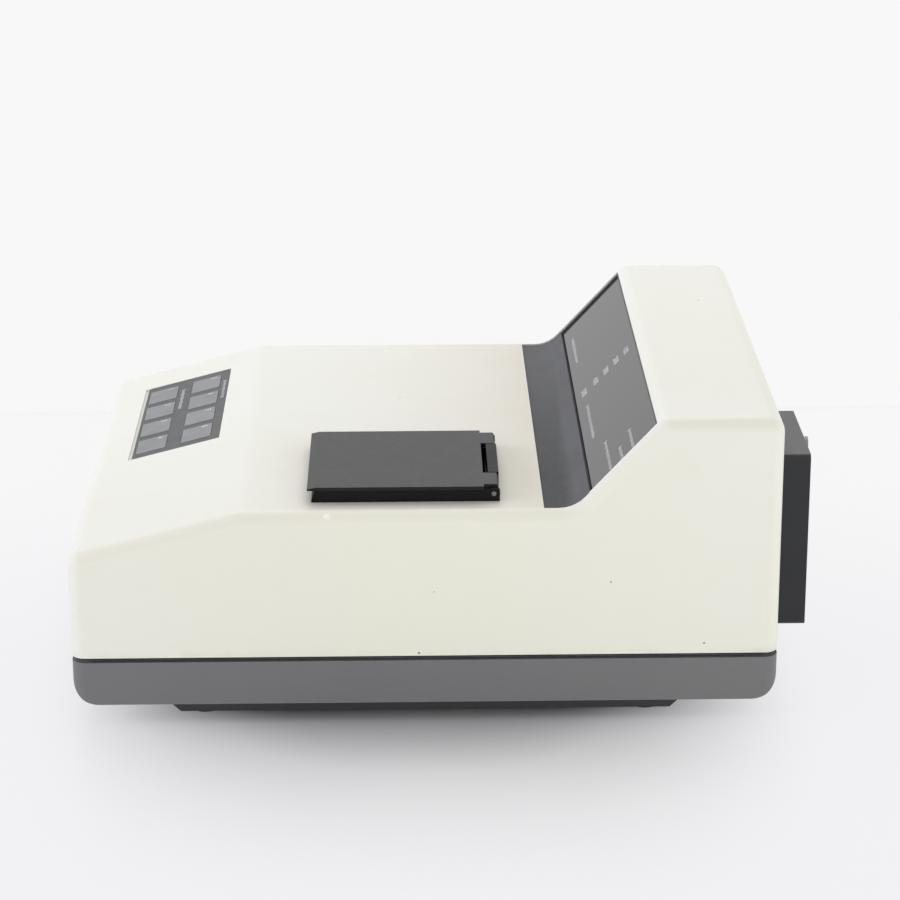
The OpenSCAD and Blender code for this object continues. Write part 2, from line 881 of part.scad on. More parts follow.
module compartment_collar() {
    cheek_r = 3;
    color("black")
        difference() {
            union() {
                side_extrude([lid_x - collar_half, lid_x + collar_half])
                    collar_side();
                block([lid_x - spigot_half, lid_x + spigot_half], [spigot_front, spigot_rear],
                    [spigot_z, deck_z + over]);
                for (x = [lid_x - collar_half, lid_x + collar_half - cheek])
                    rod_x(hinge_y, hinge_z, cheek_r, [x, x + cheek]);
                block([lid_x - knuckle_half, lid_x + knuckle_half], [knuckle_front, collar_rear],
                    [deck_z, lid_top]);
            }
            block([lid_x - well_half, lid_x + well_half], [well_front, well_rear],
                [spigot_z - over, lid_top + over]);
            for (x = [-1, 1])
                block([min(lid_x + x * (knuckle_half + gap), lid_x + x * (collar_half - cheek)),
                        max(lid_x + x * (knuckle_half + gap), lid_x + x * (collar_half - cheek))],
                    [well_rear - over, collar_rear + over], [deck_z, lid_top + over]);
            block([lid_x - knuckle_half - over, lid_x + knuckle_half + over],
                [well_rear - over, knuckle_front], [deck_z, lid_top + over]);
            rod_x(hinge_y, hinge_z, pin_r + run / 2,
                [lid_x - collar_half - over, lid_x + collar_half + over]);
        }
}

module lid_ear() {
    hub_r = 2.6;
    front = 2.4;
    rear = 2.3;
    rear_r = 1.2;
    lap = 2;
    above = lid_top - hinge_z;
    translate([hinge_y, hinge_z])
        difference() {
            union() {
                circle(hub_r);
                translate([-lid_notch - lap, lid_under - hinge_z])
                    square([lid_notch + lap, lid_t]);
                translate([rear - rear_r, above - rear_r])
                    circle(rear_r);
                translate([-front, 0])
                    square([front + rear, above - rear_r]);
                translate([-front, 0])
                    square([front + rear - rear_r, above]);
            }
            circle(pin_r + run);
        }
}

module sample_lid() {
    ear_in = knuckle_half + 2 * gap;
    ear_out = collar_half - cheek - gap;
    skirt_half = well_half - skirt_gap;
    skirt_front = well_front + skirt_gap;
    skirt_z = lid_under - 4;
    color("black") {
        side_extrude([lid_x - lid_w / 2, lid_x + lid_w / 2])
            polygon([[lid_y, lid_under], [lid_y, lid_under + lid_t / 2], [lid_y + lid_bevel, lid_top],
                [hinge_y - lid_notch, lid_top], [hinge_y - lid_notch, lid_under]]);
        for (x = [-1, 1])
            side_extrude([lid_x + min(x * ear_in, x * ear_out), lid_x + max(x * ear_in, x * ear_out)])
                lid_ear();
        difference() {
            block([lid_x - skirt_half, lid_x + skirt_half], [skirt_front, skirt_rear],
                [skirt_z, lid_under + lid_t / 4]);
            block([lid_x - skirt_half + skirt_t, lid_x + skirt_half - skirt_t],
                [skirt_front + skirt_t, skirt_rear - skirt_t], [skirt_z - over, lid_under + over]);
        }
    }
}

module lid_pad() {
    inset = skirt_t + gap;
    half = well_half - skirt_gap - inset;
    pad_t = 2.5;
    color("darkslategray")
        block([lid_x - half, lid_x + half],
            [well_front + skirt_gap + inset, skirt_rear - inset], [lid_under - pad_t, lid_under]);
}

module hinge_pin() {
    color("silver")
        rod_x(hinge_y, hinge_z, pin_r, [lid_x - collar_half, lid_x + collar_half]);
}

module sample_well() {
    color("black")
        difference() {
            block([lid_x - spigot_half, lid_x + spigot_half], [spigot_front, spigot_rear],
                [well_floor - well_t, spigot_z]);
            block([lid_x - well_half, lid_x + well_half], [well_front, well_rear],
                [well_floor, spigot_z + over]);
            rod_y(lid_x, beam_z, beam_hole, [spigot_front - over, spigot_rear + over]);
        }
}

module cuvette_holder() {
    half = holder_w / 2;
    pocket = cuvette_w / 2;
    beam_slot = [5, 14];
    grip = [8, 10];
    color("dimgray")
        difference() {
            block([lid_x - half, lid_x + half], [well_y - half, well_y + half], [well_floor, holder_top]);
            block([lid_x - pocket, lid_x + pocket], [well_y - pocket, well_y + pocket],
                [cuvette_floor, holder_top + over]);
            block([lid_x - beam_slot[0] / 2, lid_x + beam_slot[0] / 2],
                [well_y - half - over, well_y + half + over],
                [beam_z - beam_slot[1] / 2, beam_z + beam_slot[1] / 2]);
            block([lid_x - half - over, lid_x + half + over], [well_y - grip[0] / 2, well_y + grip[0] / 2],
                [holder_top - grip[1], holder_top + over]);
            spring_slot();
        }
}

// Slot beside the pocket, and the leaf spring that bows into it
module spring_slot() {
    half = spring_w / 2 + 0.2;
    block([lid_x + cuvette_w / 2 - over, lid_x + cuvette_w / 2 + slot_deep], [well_y - half, well_y + half],
        [cuvette_floor + spring_up, holder_top + over]);
}

module cuvette_spring() {
    back = lid_x + cuvette_w / 2 + slot_deep - 0.1;
    z = [cuvette_floor + spring_up, holder_top - 11];
    bow = 2.6;
    leaf = 0.4;
    flat = 3;
    middle = (z[0] + z[1]) / 2;
    color("silver")
        translate([0, well_y + spring_w / 2, 0])
            rotate([90, 0, 0])
                linear_extrude(spring_w)
                    polygon([[back, z[0]], [back - bow, middle - flat],
                        [back - bow, middle + flat], [back, z[1]],
                        [back - leaf, z[1]], [back - bow - leaf, middle + flat],
                        [back - bow - leaf, middle - flat], [back - leaf, z[0]]]);
}

// Lamp
module lamp_cover() {
    bend_r = 2.5;
    z = case_z + cover_up + cover_h / 2;
    color("black")
        difference() {
            translate([lid_x, 0, z])
                depth_extrude([rear_y, rear_y + cover_d])
                    rounded_square(cover_w, cover_h, bend_r);
            translate([lid_x, 0, z])
                depth_extrude([rear_y - over, rear_y + cover_d - sheet])
                    rounded_square(cover_w - 2 * sheet, cover_h - 2 * sheet, bend_r - sheet);
            rod_y(lid_x, thumb_z, screw_r + run, [rear_y, rear_y + cover_d + over]);
        }
}

module lamp_cover_screw() {
    ribs = 16;
    rib_r = 0.45;
    rib_out = 0.2;
    plain = 0.6;
    y = rear_y + cover_d;
    color("silver") {
        rod_y(lid_x, thumb_z, screw_r, [rear_y - wall - boss_l + over, y]);
        difference() {
            rod_y(lid_x, thumb_z, thumb_r, [y, y + thumb_out]);
            for (i = [0:ribs - 1])
                translate([lid_x, 0, thumb_z])
                    rotate([0, i * 360 / ribs, 0])
                        rod_y(thumb_r + rib_out, 0, rib_r, [y + plain, y + thumb_out + over]);
        }
    }
}

socket_size = [16, 12, 16];
socket_base_z = beam_z - 30;
lead_r = 0.5;
lead_x = 2;
lead_l = 8;

module lamp_bracket() {
    half = 22;
    post_half = 7;
    shield_up = 20;
    foot_rear = lamp_y + socket_size[1] / 2;
    color("silver")
        difference() {
            union() {
                block([lid_x - half, lid_x + half], [shield_y, foot_rear], [bench_z, bench_z + shield_t]);
                block([lid_x - half, lid_x + half], [shield_y, shield_y + shield_t],
                    [bench_z, beam_z + shield_up]);
                block([lid_x - post_half, lid_x + post_half],
                    [lamp_y - socket_size[1] / 2, lamp_y + socket_size[1] / 2], [bench_z, socket_base_z]);
            }
            rod_y(lid_x, beam_z, lens_r + run, [shield_y - over, shield_y + shield_t + over]);
        }
}

module lamp_socket() {
    color("white")
        difference() {
            translate([lid_x - socket_size[0] / 2, lamp_y - socket_size[1] / 2, socket_base_z])
                cube(socket_size);
            for (x = [-lead_x, lead_x])
                rod_z(lid_x + x, lamp_y, lead_r + run,
                    [socket_base_z + socket_size[2] - lead_l - 2, socket_base_z + socket_size[2] + over]);
        }
}

module lamp_bulb() {
    foot = socket_base_z + socket_size[2];
    shoulder = beam_z + 8;
    tip_r = 1;
    color("lightgray") {
        rod_z(lid_x, lamp_y, bulb_r, [foot, shoulder]);
        translate([lid_x, lamp_y, shoulder])
            cylinder(r1 = bulb_r, r2 = tip_r, h = bulb_r);
        for (x = [-lead_x, lead_x])
            rod_z(lid_x + x, lamp_y, lead_r, [foot - lead_l, foot]);
    }
}

module condenser_lens() {
    sphere_r = 14;
    color("lightcyan")
        intersection() {
            rod_y(lid_x, beam_z, lens_r, [shield_y - lens_t, shield_y + shield_t]);
            translate([lid_x, shield_y - lens_t + sphere_r, beam_z])
                sphere(sphere_r);
        }
}

// Filter wheel
module at_filters() {
    for (i = [0:filters - 1])
        translate([wheel_x, 0, beam_z])
            rotate([0, i * 360 / filters, 0])
                translate([filter_pcd, 0, 0])
                    children();
}

module filter_wheel() {
    hub_r = 4;
    hub_out = 2;
    color("black")
        difference() {
            union() {
                rod_y(wheel_x, beam_z, wheel_r, [wheel_y, wheel_y + wheel_t]);
                rod_y(wheel_x, beam_z, hub_r, [wheel_y, wheel_y + wheel_t + hub_out]);
                rod_y(wheel_x, beam_z, axle_r, [wheel_y - axle_l, wheel_y]);
            }
            at_filters()
                rod_y(0, 0, filter_r + run, [wheel_y - over, wheel_y + wheel_t + over]);
        }
}

module filter_glasses() {
    inset = 0.5;
    color("orange")
        at_filters()
            rod_y(0, 0, filter_r, [wheel_y + inset, wheel_y + wheel_t - inset]);
}

module filter_motor() {
    color("silver")
        difference() {
            rod_y(wheel_x, beam_z, filter_motor_r, [mono_rear, wheel_y - motor_gap]);
            rod_y(wheel_x, beam_z, axle_r + run, [wheel_y - axle_l - over, wheel_y]);
        }
}

// Monochromator
mono_x = [mono_left, lid_x + mono_right];
mono_y = [mono_front, mono_rear];

module monochromator_body() {
    leg_r = 6;
    color("darkgray")
        difference() {
            union() {
                difference() {
                    block(mono_x, mono_y, [mono_floor, mono_top]);
                    block([mono_x[0] + mono_wall, mono_x[1] - mono_wall],
                        [mono_y[0] + mono_wall, mono_y[1] - mono_wall],
                        [mono_floor + mono_wall, mono_top + over]);
                }
                for (x = [mono_x[0] + leg_r, mono_x[1] - leg_r], y = [mono_y[0] + leg_r, mono_y[1] - leg_r])
                    rod_z(x, y, leg_r, [bench_z, mono_floor + over]);
                for (side = [-1, 1])
                    translate([lid_x, mono_mid + side * mirror_off, mono_floor + over])
                        rotate([0, 0, mirror_turn(side)])
                            translate([-mirror_back - stand_t, -mirror_w / 2, 0])
                                cube([stand_t, mirror_w, beam_z - mono_floor + mirror_w / 2 + over]);
            }
            rod_z(grating_x, mono_mid, bush_r + run / 2, [mono_floor - over, mono_floor + mono_wall + over]);
            rod_y(lid_x, beam_z, slit_hole, [mono_y[0] - over, mono_y[0] + mono_wall + over]);
            rod_y(lid_x, beam_z, slit_hole, [mono_y[1] - mono_wall - over, mono_y[1] + over]);
        }
}

// Angle of a mirror's normal: it halves the way from the slit to the grating
mirror_back = 3;
mirror_w = 16;
stand_t = 5;
slit_hole = 4;
bush_r = shaft_r + 2;
function mirror_turn(side) =
    let (to_grating = unit([grating_x - lid_x, -side * mirror_off]))
    let (normal = to_grating + [0, side])
    atan2(normal[1], normal[0]);

module mirrors() {
    color("white")
        for (side = [-1, 1])
            translate([lid_x, mono_mid + side * mirror_off, beam_z])
                rotate([0, 0, mirror_turn(side)])
                    block([-mirror_back, 0], [-mirror_w / 2, mirror_w / 2], [-mirror_w / 2, mirror_w / 2]);
}

module slit_plates() {
    plate = 1;
    half = 9;
    slit = [1.2, 10];
    color("black")
        for (y = [mono_y[0] + mono_wall, mono_y[1] - mono_wall - plate])
            difference() {
                block([lid_x - half, lid_x + half], [y, y + plate], [beam_z - half, beam_z + half]);
                block([lid_x - slit[0] / 2, lid_x + slit[0] / 2], [y - over, y + plate + over],
                    [beam_z - slit[1] / 2, beam_z + slit[1] / 2]);
            }
}

module monochromator_cover() {
    tab_half = motor_r + 3;
    color("darkgray")
        difference() {
            union() {
                block(mono_x, mono_y, [mono_top, mono_top + lid_plate_t]);
                block([motor_x - tab_half, mono_x[0] + over], [mono_mid - tab_half, mono_mid + tab_half],
                    [mono_top, mono_top + lid_plate_t]);
            }
            rod_z(grating_x, mono_mid, bush_r + run / 2, [mono_top - over, mono_top + lid_plate_t + over]);
            rod_z(motor_x, mono_mid, motor_shaft_r + over, [mono_top - over, mono_top + lid_plate_t + over]);
        }
}

module shaft_bushes() {
    color("goldenrod")
        for (z = [[mono_floor, mono_floor + mono_wall], [mono_top, mono_top + lid_plate_t]])
            difference() {
                rod_z(grating_x, mono_mid, bush_r, z);
                rod_z(grating_x, mono_mid, shaft_r + run, [z[0] - over, z[1] + over]);
            }
}

carrier_plate = 3;
carrier_front = 4;
carrier_hub = shaft_r + 3;
carrier_floor = mono_floor + mono_wall + gap;
grating_t = 5;

module grating_carrier() {
    half = grating_w / 2;
    low = beam_z - half;
    high = beam_z + half;
    back = grating_t + 4;
    color("silver") {
        rod_z(grating_x, mono_mid, shaft_r, [mono_floor, low - carrier_plate + over]);
        rod_z(grating_x, mono_mid, carrier_hub, [carrier_floor, low - carrier_plate + over]);
        rod_z(grating_x, mono_mid, shaft_r, [high + 1, gear_z + gear_t]);
        rod_z(grating_x, mono_mid, carrier_hub, [high + 1, mono_top - gap]);
        for (z = [low - carrier_plate, high])
            block([grating_x - back, grating_x + carrier_front], [mono_mid - half, mono_mid + half],
                [z, z + carrier_plate]);
        block([grating_x - back, grating_x - grating_t], [mono_mid - half, mono_mid + half],
            [low - carrier_plate, high + carrier_plate]);
    }
}

module diffraction_grating() {
    half = grating_w / 2;
    color("lightsteelblue")
        block([grating_x - grating_t, grating_x], [mono_mid - half, mono_mid + half],
            [beam_z - half, beam_z + half]);
}

module sector_gear() {
    hub = shaft_r + 4;
    window_r = 5;
    color("goldenrod")
        translate([grating_x, mono_mid, gear_z])
            rotate([0, 0, 180])
                difference() {
                    union() {
                        linear_extrude(gear_t)
                            polygon(concat([[0, 0]], gear_points(sector_teeth, sector_count, tooth_play)));
                        cylinder(r = hub, h = gear_t);
                    }
                    translate([0, 0, -over])
                        cylinder(r = shaft_r + run, h = gear_t + 2 * over);
                    translate([sector_pitch_r * 0.62, 0, -over])
                        cylinder(r = window_r, h = gear_t + 2 * over);
                }
}

module motor_pinion() {
    color("goldenrod") {
        translate([motor_x, mono_mid, gear_z])
            rotate([0, 0, 180 / pinion_teeth * (pinion_teeth % 2)])
                linear_extrude(gear_t)
                    polygon(gear_points(pinion_teeth, pinion_teeth, tooth_play));
        rod_z(motor_x, mono_mid, motor_shaft_r, [mono_top - motor_shaft_l, gear_z + 0.5]);
    }
}

module wavelength_motor() {
    color("dimgray")
        difference() {
            rod_z(motor_x, mono_mid, motor_r, [mono_top - motor_h, mono_top]);
            rod_z(motor_x, mono_mid, motor_shaft_r + run,
                [mono_top - motor_shaft_l - over, mono_top + over]);
        }
}

// Detector
detector_w = 24;
detector_y = [spigot_front - 16, spigot_front];
diode_r = 4.5;
pin_off = 2;
pin_wire = 0.3;

module detector_block() {
    color("dimgray")
        difference() {
            block([lid_x - detector_w / 2, lid_x + detector_w / 2], detector_y,
                [beam_z - detector_w / 2, beam_z + detector_w / 2]);
            rod_y(lid_x, beam_z, diode_r, [detector_y[0] - over, detector_y[1] + over]);
        }
}

module photodiode() {
    color("silver") {
        rod_y(lid_x, beam_z, diode_r - run, [detector_y[0], detector_y[0] + 5]);
        for (x = [-pin_off, pin_off])
            rod_y(lid_x + x, beam_z, pin_wire, [detector_y[0] - 3, detector_y[0]]);
    }
}

module detector_board() {
    board = [36, 28];
    color("darkgreen")
        difference() {
            block([lid_x - board[0] / 2, lid_x + board[0] / 2], [detector_y[0] - board_t, detector_y[0]],
                [beam_z - board[1] / 2, beam_z + board[1] / 2]);
            for (x = [-pin_off, pin_off])
                rod_y(lid_x + x, beam_z, pin_wire + run, [detector_y[0] - 4, detector_y[0] + over]);
        }
}

// Electronics
module main_board() {
    color("darkgreen")
        block([board_left, board_right], [board_front, board_rear], [board_z, board_z + board_t]);
}

module board_spacers() {
    inset = 6;
    spacer_r = 3.5;
    color("silver")
        for (x = [board_left + inset, board_right - inset], y = [board_front + inset, board_rear - inset])
            rod_z(x, y, spacer_r, [bench_z, board_z]);
}

module board_parts() {
    z = board_z + board_t;
    chip = [10, 22, 4];
    chip_pitch = [26, 32];
    chip_in = 30;
    parts_in = 60;
    parts_y = board_rear - parts_in;
    cap_r = 7;
    cap_h = 22;
    cap_pitch = 22;
    cap_back = 10;
    cap_x = board_left + 16;
    sink_x = board_left + 34;
    sink = [27, 30, 3];
    fin_t = 2;
    fin_h = 24;
    fins = 6;
    header = [ribbon_w + 4, 7];
    color("darkslategray") {
        for (i = [0:2], j = [0:1])
            translate([board_right - chip_in - j * chip_pitch[0], parts_y - i * chip_pitch[1], z])
                cube(chip);
        for (i = [0:2])
            rod_z(cap_x, parts_y + cap_back - i * cap_pitch, cap_r, [z, z + cap_h]);
        translate([sink_x, parts_y - sink[1], z])
            cube(sink);
        for (i = [0:fins - 1])
            translate([sink_x + i * (sink[0] - fin_t) / (fins - 1), parts_y - sink[1], z + sink[2]])
                cube([fin_t, sink[1], fin_h - sink[2]]);
        for (at = [[keypad_x, keypad_tail_y + ribbon_t / 2], [ribbon_x, display_header_y + ribbon_t / 2]])
            translate([at[0] - header[0] / 2, at[1] - header[1] / 2, z])
                cube([header[0], header[1], header_top - z]);
    }
}

module transformer_core() {
    x = transformer_x;
    y = [transformer_y - core_d / 2, transformer_y + core_d / 2];
    color("gray")
        difference() {
            union() {
                block([x - core_w / 2, x + core_w / 2], y, [bench_z, bench_z + core_h]);
                block([x - core_w / 2 - 9, x + core_w / 2 + 9], y, [bench_z, bench_z + 2]);
            }
            for (side = [-1, 1])
                translate([x + side * 1.5 * core_leg, transformer_y, bench_z + core_h / 2])
                    cube([core_leg, core_d + 2, core_h - 2 * core_leg], center = true);
            for (side = [-1, 1])
                rod_z(x + side * (core_w / 2 + 5), transformer_y, 2, [bench_z - over, bench_z + 3]);
        }
}

module transformer_coil() {
    fit = 0.2;
    size = [4 * core_leg - 2 * fit, core_d + 2 * winding, core_h - 2 * core_leg - 2 * fit];
    color("peru")
        translate([transformer_x, transformer_y, bench_z + core_h / 2])
            difference() {
                cube(size, center = true);
                cube([2 * core_leg + 2 * fit, core_d + 2 * fit, core_h], center = true);
            }
}

// Rear sockets
module mains_inlet() {
    flange_t = 2.5;
    pin = [2, 4];
    pin_x = 7;
    pin_z = 2;
    color("black") {
        difference() {
            union() {
                port_plate(inlet_x, inlet_flange, 4, flange_t);
                port(inlet_x, inlet_shell, 0, [rear_y - 20, rear_y]);
            }
            port(inlet_x, inlet_mouth, 0, [rear_y - 16, rear_y + flange_t + over]);
        }
        for (at = [[-pin_x, -pin_z], [0, pin_z], [pin_x, -pin_z]])
            block([inlet_x + at[0] - pin[0] / 2, inlet_x + at[0] + pin[0] / 2], [rear_y - 28, rear_y - 4],
                [socket_z + at[1] - pin[1] / 2, socket_z + at[1] + pin[1] / 2]);
    }
}

rocker_pivot = rear_y - 3;
rocker_pin = 1.5;

module power_switch() {
    flange_t = 1.8;
    color("black")
        difference() {
            union() {
                port_plate(switch_x, switch_flange, 2, flange_t);
                port(switch_x, switch_shell, 0, [rear_y - 18, rear_y]);
            }
            port(switch_x, switch_mouth, 0, [rear_y - 8, rear_y + flange_t + over]);
            rod_x(rocker_pivot, socket_z, rocker_pin + run,
                [switch_x - switch_shell[0] / 2 + 0.5, switch_x + switch_shell[0] / 2 - 0.5]);
        }
}

// Rocker in side view: a hub at the pivot, and two arms whose faces meet in a shallow valley
module power_rocker() {
    half = 10.8;
    hub = [-1.8, 3];
    back = 2.4;
    valley = 4.2;
    crest = 6.2;
    half_w = switch_mouth[0] / 2 - gap;
    pin_half = switch_shell[0] / 2 - 0.7;
    color("black")
        translate([0, rocker_pivot, socket_z])
            rotate([rocker_tilt, 0, 0]) {
                side_extrude([switch_x - half_w, switch_x + half_w])
                    polygon([[hub[0], -hub[1]], [back, -half], [crest, -half], [valley, 0],
                        [crest, half], [back, half], [hub[0], hub[1]]]);
                rod_x(0, 0, rocker_pin, [switch_x - pin_half, switch_x + pin_half]);
            }
}

module serial_socket() {
    pins = [5, 4];
    pin_pitch = 2.76;
    row_pitch = 2.8;
    pin_r = 0.6;
    nose_out = 6;
    color("silver")
        difference() {
            union() {
                port_plate(serial_x, serial_flange, 1.5, 1);
                port_plate(serial_x, serial_nose, 2.4, nose_out);
                port(serial_x, serial_shell, 0, [rear_y - 10, rear_y]);
            }
            for (row = [0, 1], i = [0:pins[row] - 1])
                rod_y(serial_x + (i - (pins[row] - 1) / 2) * pin_pitch,
                    socket_z + (0.5 - row) * row_pitch, pin_r, [rear_y - 4, rear_y + nose_out + over]);
        }
}

base_tray();
rubber_feet();
optical_bench();
case_cover();
case_screws();
keypad_overlay();
key_1();
key_2();
key_3();
key_4();
key_5();
key_6();
key_7();
key_8();
key_domes();
keypad_board();
ribbon_cables();
display_bezel();
display_window();
display_board();
led_digits();
compartment_collar();
sample_lid();
lid_pad();
hinge_pin();
sample_well();
cuvette_holder();
cuvette_spring();
lamp_cover();
lamp_cover_screw();
lamp_bracket();
lamp_socket();
lamp_bulb();
condenser_lens();
filter_wheel();
filter_glasses();
filter_motor();
monochromator_body();
monochromator_cover();
slit_plates();
mirrors();
grating_carrier();
diffraction_grating();
sector_gear();
shaft_bushes();
wavelength_motor();
motor_pinion();
detector_block();
photodiode();
detector_board();
main_board();
board_parts();
board_spacers();
transformer_core();
transformer_coil();
mains_inlet();
power_switch();
power_rocker();
serial_socket();
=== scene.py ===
import json
import math

import bmesh
import bpy
from mathutils import Matrix, Vector


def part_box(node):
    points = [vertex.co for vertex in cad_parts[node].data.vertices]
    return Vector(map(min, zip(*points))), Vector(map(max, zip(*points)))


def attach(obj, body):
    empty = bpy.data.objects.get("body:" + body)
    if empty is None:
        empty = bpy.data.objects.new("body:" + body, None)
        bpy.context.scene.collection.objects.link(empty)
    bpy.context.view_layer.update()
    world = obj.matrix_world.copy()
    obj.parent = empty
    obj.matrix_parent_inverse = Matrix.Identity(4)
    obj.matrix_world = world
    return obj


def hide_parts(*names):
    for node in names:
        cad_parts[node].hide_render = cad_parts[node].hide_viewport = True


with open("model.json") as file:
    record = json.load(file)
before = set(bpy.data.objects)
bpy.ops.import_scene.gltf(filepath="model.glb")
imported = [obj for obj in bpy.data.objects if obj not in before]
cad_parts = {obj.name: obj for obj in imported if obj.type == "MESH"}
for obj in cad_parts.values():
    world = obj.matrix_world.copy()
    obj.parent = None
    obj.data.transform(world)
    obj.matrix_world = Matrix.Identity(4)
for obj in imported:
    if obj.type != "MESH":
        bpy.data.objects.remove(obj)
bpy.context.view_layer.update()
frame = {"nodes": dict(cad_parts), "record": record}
nodes = frame["nodes"]
MM = 0.001

# Side view of the case: heights over its lower rim, depth of its top, angles of its inclined faces
SLOPE_FOOT = 53.3 * MM
DECK_HEIGHT = 75.2 * MM
TOP_DEPTH = 59 * MM
SLOPE_ANGLE = math.radians(14.58)
DISPLAY_ANGLE = math.radians(47.3)

# Base: gap under the case's rim, and height of the plinth, which is painted dark as painted shade
SHADOW_GAP = 2.5 * MM
PLINTH_HEIGHT = 8.4 * MM

case_lo, case_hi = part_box("case_cover")
base_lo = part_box("base_tray")[0]
DECK_Z = case_lo.z + DECK_HEIGHT
COVE_Y = case_hi.y - TOP_DEPTH - (case_hi.z - DECK_Z) / math.tan(DISPLAY_ANGLE)
BASE_TOP = case_lo.z - SHADOW_GAP
SLOPE = Matrix.Translation((0, case_lo.y, case_lo.z + SLOPE_FOOT)) @ Matrix.Rotation(SLOPE_ANGLE, 4, "X")
DISPLAY = Matrix.Translation((0, COVE_Y, DECK_Z)) @ Matrix.Rotation(DISPLAY_ANGLE, 4, "X")
KEYS = range(1, 9)

# Print, in mm: its thickness and lift, and how deep the printed faces lie under slope and display
PRINT_THICK = 0.04
PRINT_LIFT = 0.01
KEY_FACE = -0.1
FILM_FACE = -0.3
WINDOW_FACE = -1.7

# Type: how much its strokes are thickened, in mm, the steps of its curves, and the gap that is welded
TYPE_WEIGHT = 0.06
TYPE_STEPS = 4
TYPE_WELD = 0.0001 * MM

# Rules in mm: step and width of the ticks, share of the short ones, and every how many is tall
TICK_STEP = 1.5
TICK_WIDTH = 0.55
TICK_SHORT = 0.64
TICK_GROUP = 5

# Window print on the display face, in mm: rows of rules (from, to, height) and the column of numbers
WINDOW_RULES = ((-107, -63, 17.0), (15, 67, 18.2), (87, 128, 24.8), (112, 129, 32.8), (102, 129, 40.6))
WINDOW_RULE_TALL = 2.4
NUMBER_ROWS = (49.8, 42.2, 34.4, 26.5, 17.6)
NUMBER_STEP = 100
NUMBER_X = -8
NUMBER_SIZE = 5.2
NUMBER_SPREAD = 1.3

# Keypad print, in mm: each key's number from the key's middle, and two rows of rules (from, to, tall)
KEY_NUMBER_X = -8
KEY_NUMBER_S = 3.9
KEY_NUMBER_SIZE = 4.6
MIDDLE_RULES = (-90, -56, 2.6)
MIDDLE_RULES_DROP = 0.8
UPPER_RULES = (-88, -57, 2.2)
UPPER_RULES_RISE = 11.0

# Rocker, in mm: half its height, and how far its middle and its ends stand off the pivot
ROCKER_HALF = 10.8
ROCKER_VALLEY = 4.2
ROCKER_CREST = 6.2
ROCKER_MARK = 5.0

# Foam under the lid: grid steps, drawn-in edge, bulge, and the angle of the rim that is rounded
FOAM_STEPS = 40
FOAM_EDGE = 1.2 * MM
FOAM_BULGE = 0.5 * MM
FOAM_RIM = math.radians(30)

# Floor: its half size, and the half-lengths, middle and squareness of the shadow's soft oval
FLOOR_HALF = 6.0
SHADOW_X = 0.25
SHADOW_Y = 0.14
SHADOW_MIDDLE_Y = -0.012
SHADOW_SQUARE = 3.0

# Where the floor's paper, painted darker near the object as painted shadow, turns pale, and where its
# shadow fades, in shares of the oval
PAINTED_SHADOW_END = (0.56, 0.80)
NEAR_FADE = (0.60, 1.5)
FAR_FADE = (1.4, 2.6)
NEAR_SHARE = 0.94

# The table's end behind the object, and the stretch over which its tone changes
TABLE_END = -0.347
TABLE_TONES = (-0.20, 0.05)

# The photograph's camera: turns in radians, place in metres, focal length and picture in pixels
CAMERA_YAW = 0.016
CAMERA_PITCH = 0.336
CAMERA_ROLL = -0.003
CAMERA_PLACE = (1.4628, -0.0179, 0.6046)
FOCAL_PIXELS = 2902.1
PICTURE_PIXELS = 900
SENSOR_WIDTH = 36
CAMERA_CLIP = (0.05, 50)

# Leather grain: its depth in depths of the fine grain, and its strength
LEATHER_DEPTH = 3
LEATHER_STRENGTH = 0.6

# Carried-over solids: gap that is welded, angle within which faces are one plane, steps of soft edges
SOLID_WELD = 0.002 * MM
PLANE_ANGLE = math.radians(0.2)
EDGE_SEGMENTS = 2

BLACK = (0, 0, 0, 1)


# Node helpers

def srgb(r, g, b):
    """Shader colour from a screen colour of 0 to 255."""
    def linear(c):
        c /= 255
        return c / 12.92 if c <= 0.04045 else ((c + 0.055) / 1.055) ** 2.4
    return (linear(r), linear(g), linear(b), 1)


def shaded(colour, share):
    return tuple(c * share for c in colour[:3]) + (1,)


class Graph:
    """Short calls for the nodes of one node tree."""

    def __init__(self, tree):
        self.tree = tree
        tree.nodes.clear()

    def link(self, a, b):
        self.tree.links.new(a, b)

    def put(self, socket, value):
        if isinstance(value, bpy.types.NodeSocket):
            self.link(value, socket)
        else:
            socket.default_value = value

    def new(self, kind, inputs=None, **attrs):
        n = self.tree.nodes.new(kind)
        for key, value in attrs.items():
            setattr(n, key, value)
        for key, value in (inputs or {}).items():
            self.put(n.inputs[key], value)
        return n

    def math(self, op, a, b=0.0):
        return self.new("ShaderNodeMath", {0: a, 1: b}, operation=op).outputs[0]

    def product(self, first, *others):
        for other in others:
            first = self.math("MULTIPLY", first, other)
        return first

    def blend(self, share, a, b):
        """Mix of two shaders."""
        return self.new("ShaderNodeMixShader", {0: share, 1: a, 2: b}).outputs[0]

    def seen(self):
        """1 where the camera looks, straight, by a mirror or through glass, and 0 for scattered light."""
        ray = self.new("ShaderNodeLightPath").outputs
        indirect = self.math("MAXIMUM", ray["Is Glossy Ray"], ray["Is Transmission Ray"])
        return self.math("MAXIMUM", ray["Is Camera Ray"], indirect)


